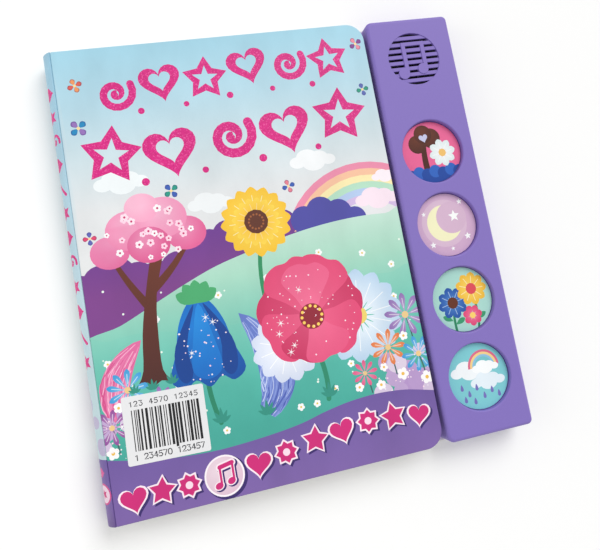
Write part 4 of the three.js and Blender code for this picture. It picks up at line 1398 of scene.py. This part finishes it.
def rawPiece(name, points, faces):
    mesh = bpy.data.meshes.new(name)
    mesh.from_pydata([Vector(p) * mm for p in points], [], faces)
    return linked(name, mesh)


def stacked(name, rings):
    # closed solid from rings of equal length, lowest first
    count = len(rings[0])
    points = [p for ring in rings for p in ring]
    faces = [tuple(range(count))[::-1], tuple(range(len(points) - count, len(points)))]
    for level in range(len(rings) - 1):
        for i in range(count):
            a, b = level * count + i, level * count + (i + 1) % count
            faces.append((a, b, b + count, a + count))
    return rawPiece(name, points, faces)


def turnedSolid(name, x, y, profile, sides=96):
    # profile is (radius, level) from low to high
    rings = [[(x + r * math.cos(2 * math.pi * i / sides), y + r * math.sin(2 * math.pi * i / sides), z)
              for i in range(sides)] for r, z in profile]
    return stacked(name, rings)


def drum(name, x, y, radius, low, high, sides=96):
    return turnedSolid(name, x, y, [(radius, low), (radius, high)], sides)


def applied(piece):
    # the mesh that the modifiers make
    return bpy.data.meshes.new_from_object(piece.evaluated_get(bpy.context.evaluated_depsgraph_get()))


def combine(piece, other, operation):
    # boolean, applied at once; the other piece is used up
    change = piece.modifiers.new("combine", "BOOLEAN")
    change.operation, change.object, change.solver = operation, other, "EXACT"
    finished = applied(piece)
    piece.modifiers.remove(change)
    old = piece.data
    piece.data = finished
    bpy.data.meshes.remove(old)
    bpy.data.objects.remove(other)


def moduleRing(plan, inset, level):
    return [(x, y, level) for x, y in boardOutline(plan, inset, 9)]


def slotBars():
    # row of bars across the grille, made with Geometry Nodes
    low, high = sizeOf("module_housing")
    tree = bpy.data.node_groups.new("grilleBars", "GeometryNodeTree")
    sockets = {}
    tree.interface.new_socket("Geometry", in_out="INPUT", socket_type="NodeSocketGeometry")
    kinds = {"Count": "Int", "Start": "Vector", "Material": "Material"}
    for label in ("Count", "Pitch", "Length", "Height", "Depth", "Start", "Material"):
        kind = "NodeSocket" + kinds.get(label, "Float")
        sockets[label] = tree.interface.new_socket(label, in_out="INPUT", socket_type=kind).identifier
    tree.interface.new_socket("Geometry", in_out="OUTPUT", socket_type="NodeSocketGeometry")
    given, result = tree.nodes.new("NodeGroupInput"), tree.nodes.new("NodeGroupOutput")
    kinds = ("GeometryNodeMeshLine", "ShaderNodeCombineXYZ", "ShaderNodeCombineXYZ", "GeometryNodeMeshCube",
             "GeometryNodeInstanceOnPoints", "GeometryNodeRealizeInstances", "GeometryNodeSetMaterial")
    line, step, size, bar, spread, real, finish = (tree.nodes.new(kind) for kind in kinds)
    outputs = given.outputs
    wire(tree, (outputs["Count"], line.inputs["Count"]), (outputs["Pitch"], step.inputs["Y"]),
         (step.outputs[0], line.inputs["Offset"]), (outputs["Start"], line.inputs["Start Location"]),
         (outputs["Length"], size.inputs["X"]), (outputs["Height"], size.inputs["Y"]),
         (outputs["Depth"], size.inputs["Z"]), (size.outputs[0], bar.inputs["Size"]),
         (line.outputs["Mesh"], spread.inputs["Points"]), (bar.outputs["Mesh"], spread.inputs["Instance"]),
         (spread.outputs["Instances"], real.inputs[0]), (real.outputs[0], finish.inputs["Geometry"]),
         (outputs["Material"], finish.inputs["Material"]), (finish.outputs[0], result.inputs[0]))
    bars = rawPiece("grilleBars", [(0, 0, 0)], [])
    made = bars.modifiers.new("bars", "NODES")
    made.node_group = tree
    run = (module["slotCount"] - 1) * module["slotPitch"]
    start = ((low.x + high.x) / 2 * mm, (module["grilleY"] - run / 2) * mm, (high.z - module["cutPast"]) * mm)
    values = {"Count": module["slotCount"], "Pitch": module["slotPitch"] * mm,
              "Length": module["barLength"] * mm, "Height": module["slotHeight"] * mm,
              "Depth": module["barDepth"] * mm, "Start": start, "Material": shellPlastic}
    for label, value in values.items():
        made[sockets[label]] = value
    mesh = applied(bars)
    bars.modifiers.remove(made)
    bars.data = mesh
    return bars


def outerShell(plan, low, high, ceiling):
    # box with rounded upper edges, hollow from below
    edge, steps = module["edge"], module["edgeSteps"]
    rings = [moduleRing(plan, 0, low.z)]
    for i in range(steps + 1):
        angle = math.pi / 2 * i / steps
        rings.append(moduleRing(plan, edge * (1 - math.cos(angle)), high.z - edge + edge * math.sin(angle)))
    shell = stacked("module_shell", rings)
    levels = (low.z - module["cutPast"], ceiling)
    cavity = stacked("cavity", [moduleRing(plan, module["wall"], level) for level in levels])
    combine(shell, cavity, "DIFFERENCE")
    return shell


def addFittings(shell, middleX, ceiling):
    # collars round the windows, screw bosses and the speaker's ring
    sunk = module["sunk"]
    collar, ring = module["windowRadius"] + module["collarWall"], module["ringRadius"] + module["ringWall"]
    fittings = [drum("collar", middleX, y, collar, module["collarLow"], ceiling + sunk["collar"])
                for y in module["windowYs"]]
    fittings += [drum("boss", x, y, module["bossRadius"], level, ceiling + sunk["boss"], 24)
                 for x, y, level in module["bossPlaces"]]
    fittings.append(drum("ring", middleX, module["grilleY"], ring, ceiling - module["ringDepth"],
                         ceiling + sunk["ring"], 72))
    for part in fittings:
        combine(shell, part, "UNION")


def cutHoles(shell, middleX, high, ceiling):
    # screw holes, the speaker's well and four windows with a flared lip
    holes = [drum("hole", x, y, module["bossHole"], module["bossCutLow"], ceiling, 16)
             for x, y, _ in module["bossPlaces"]]
    holes.append(drum("well", middleX, module["grilleY"], module["ringRadius"], module["wellCutLow"], ceiling, 72))
    lip, radius, steps = module["windowLip"], module["windowRadius"], 6
    turns = [math.pi / 2 * i / steps for i in range(steps)]
    flare = [(radius + lip * (1 - math.cos(t)), high.z - lip + lip * math.sin(t)) for t in turns]
    flare += [(radius + lip, high.z + module["lipSpare"]), (radius + lip, high.z + module["cutPast"])]
    profile = [(radius, module["windowCutLow"]), *flare]
    holes += [turnedSolid("window", middleX, y, profile) for y in module["windowYs"]]
    combine(shell, merged("holes", holes), "DIFFERENCE")


def makeNote(middleX, bottom, top):
    # one outline for the two stems and the beam, which fills the land between two slots, and two heads
    half = module["stemWidth"] / 2
    beamLow = ((module["slotCount"] - 1) / 2 - 2) * module["slotPitch"] + module["slotHeight"] / 2
    beamHigh = beamLow + module["slotPitch"] - module["slotHeight"]
    beamLow, beamHigh = beamLow - module["beamSpare"], beamHigh + module["beamSpare"]
    (first, headX, headY, headRadius), (second, otherX, otherY, otherRadius) = module["stems"]
    stemsAndBeam = [(first - half, headY), (first + half, headY), (first + half, beamLow), (second - half, beamLow),
                    (second - half, otherY), (second + half, otherY), (second + half, beamHigh),
                    (first - half, beamHigh)]
    outlines = (stemsAndBeam, disc(headX, headY, headRadius, 40), disc(otherX, otherY, otherRadius, 40))
    note, *heads = [stacked("note", [[(middleX + u, module["grilleY"] + v, level) for u, v in outline]
                                     for level in (bottom, top)]) for outline in outlines]
    for head in heads:
        combine(note, head, "UNION")
    return note


def cutGrille(shell, middleX, high, ceiling):
    # the note keeps the face's level; the rest of the disc is recessed and slotted
    y = module["grilleY"]
    past = module["cutPast"]
    note = makeNote(middleX, ceiling - 2 * past, high.z + 2 * past)
    recess = drum("recess", middleX, y, module["grilleRadius"], high.z - module["grilleRecess"], high.z + past)
    bars = slotBars()
    reach = drum("reach", middleX, y, module["grilleRadius"] - module["slotGap"], ceiling - module["slotBelow"],
                 high.z - module["slotUnderFace"])
    combine(bars, reach, "INTERSECT")
    combine(recess, bars, "UNION")
    combine(recess, note, "DIFFERENCE")
    combine(shell, recess, "DIFFERENCE")


def makeShell():
    low, high = sizeOf("module_housing")
    inner, outer = module["cornerInner"], module["cornerOuter"]
    plan = (low.x, low.y, high.x, high.y, (inner, outer, outer, inner))
    middleX = (low.x + high.x) / 2
    ceiling = high.z - module["wall"]
    shell = outerShell(plan, low, high, ceiling)
    addFittings(shell, middleX, ceiling)
    cutHoles(shell, middleX, high, ceiling)
    cutGrille(shell, middleX, high, ceiling)
    shell.data.materials.clear()
    shell.data.materials.append(shellPlastic)
    for polygon in shell.data.polygons:
        polygon.material_index = 0
        polygon.use_smooth = True
    shell.data.set_sharp_from_angle(angle=math.radians(module["sharpAngle"]))
    even = shell.modifiers.new("evenNormals", "WEIGHTED_NORMAL")
    even.keep_sharp = True
    shell.data = applied(shell)
    shell.modifiers.clear()
    handOver(shell, "book_base", "module_housing")
    print("module shell cut:", len(shell.data.polygons), "faces")


makeShell()


# printed discs on the four buttons, from the head
def picturePink(art):
    paint(art, box(-15, -17, 15, -11.5), (38, 84, 166))
    brush(art, bend((-4, -11), (-5, 0), (-3, 6), 8), 3.6, (84, 40, 28), taper=0.3)
    for i in range(7):
        paint(art, disc(-13.5 + 4.5 * i, -11.8 + 1.4 * (i % 2), 3.4, 20), (58, 112, 196) if i % 2 else (38, 84, 166))
    for u, v, radius in ((-7, 5, 5), (1, 7.5, 5.4), (-3, 10, 5)):
        paint(art, disc(u, v, radius, 22), glow(u - 1, v + 2, radius * 1.5, (118, 62, 40), (84, 40, 28)))
    daisy(art, 6, -1, 7.5, 8, 4.2, (226, 240, 240), white, (244, 200, 120), 10, 0.7, 0.28)
    paint(art, heart(-3, 8, 5, 8), (206, 208, 236))


def pictureLilac(art):
    paint(art, disc(-1, 1, 12.5, 40), (222, 194, 214))
    paint(art, disc(-1, 1, 9.6, 36), (246, 243, 204))
    paint(art, disc(3.4, 3.4, 8.4, 34), (218, 188, 210))
    for u, v, size in ((5, 4, 3.2), (-9.5, -9.5, 1.8), (10.5, -7.5, 2.0), (-11.5, 7, 1.3), (9.5, 11, 1.6),
                       (1, -12.8, 1.2)):
        paint(art, star(u, v, size, size * 0.45, 5, 18), (250, 252, 250))


def pictureMint(art):
    brush(art, bend((-6, -17), (-7, -8), (-5, -2), 6), 1.3, (50, 140, 104))
    brush(art, bend((6, -17), (8, -6), (6, 2), 6), 1.3, (50, 140, 104))
    for u, v, turn in ((-7, -10, 150), (-6, -12, 25), (5, -9, 150), (6, -11, 25)):
        paint(art, petal(u, v, 6, 2.8, turn), (70, 160, 120))
    daisy(art, -5.5, -1, 8.2, 8, 4.8, (44, 92, 168), (96, 146, 206), (110, 60, 40), 12, 0.72, 0.36)
    daisy(art, 6, 4.5, 8.6, 9, 4.8, (238, 190, 70), (250, 220, 120), (224, 90, 100), 0, 0.72, 0.34)
    daisy(art, 4, -9, 5.4, 7, 3.6, (222, 76, 124), (240, 140, 170), (250, 214, 120), 8, 0.72, 0.3)


def pictureTurquoise(art):
    cloud(art, -4, 3, 6.4, (244, 248, 250))
    cloud(art, 5, -3.5, 6.0, (232, 242, 248))
    for u, v in ((-10, -6), (-6.5, -9.5), (-2, -7), (1.5, -11.5), (6, -9.5), (-9, -12), (-4, -13.5), (9.5, -12)):
        paint(art, petal(u, v, 3.4, 1.7, 90, 0.3), (128, 124, 190))
    for radius, ink in ((8.6, (224, 120, 150)), (7.4, (246, 214, 150)), (6.2, (150, 200, 226)), (5.0, (130, 200, 205))):
        paint(art, [around(4, 4, radius, angle) for angle in range(0, 181, 12)], ink)
    cloud(art, 5, 3.4, 4.6, (250, 252, 252))


pictures = {"edge": 0.06, "cornerSpare": 0.001,
            "drawings": (picturePink, pictureLilac, pictureMint, pictureTurquoise),
            "fields": ((236, 114, 160), (214, 180, 208), (178, 220, 210), (138, 208, 214))}


def makePictures():
    for i, (draw, field) in enumerate(zip(pictures["drawings"], pictures["fields"]), 1):
        node = "button_picture_%d" % i
        low, high = sizeOf(node)
        radius = (high.x - low.x) / 2
        art = []
        draw(art)
        plan = (low.x, low.y, high.x, high.y, (radius - pictures["cornerSpare"],) * 4)
        piece = printedBoard("picture_%d" % i, plan, high.z, low.z, art, [pictureFoil, pictureFoil], pictures["edge"],
                             field, backBase=field, sheetOrigin=((low.x + high.x) / 2, (low.y + high.y) / 2))
        handOver(piece, "button_%d" % i, node)
    print("button pictures made")


makePictures()


# finishes of the CAD nodes that stay
nodeFinish = {
    "module_base": innerPlastic, "battery_door": innerPlastic, "circuit_board": circuitGreen, "sound_chip": epoxyBlack,
    "speaker_frame": blackSteel, "speaker_cone": conePaper, "speaker_magnet": magnetFerrite,
    "speaker_wire_red": redSleeve, "battery_wire_red": redSleeve, "speaker_wire_black": blackSleeve,
    "battery_wire_black": blackSleeve, "button_cap": capPlastic, "rubber_dome": domeRubber,
    "button_cell": plainSteel, "battery_contact": plainSteel, "battery_bridge": plainSteel, "screw": plainSteel,
}


def finishNodes():
    for name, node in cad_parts.items():
        if node.hide_render:
            continue
        key = next(k for k in nodeFinish if k in name)
        node.data.materials.clear()
        node.data.materials.append(nodeFinish[key])
    print("CAD nodes finished")


finishNodes()
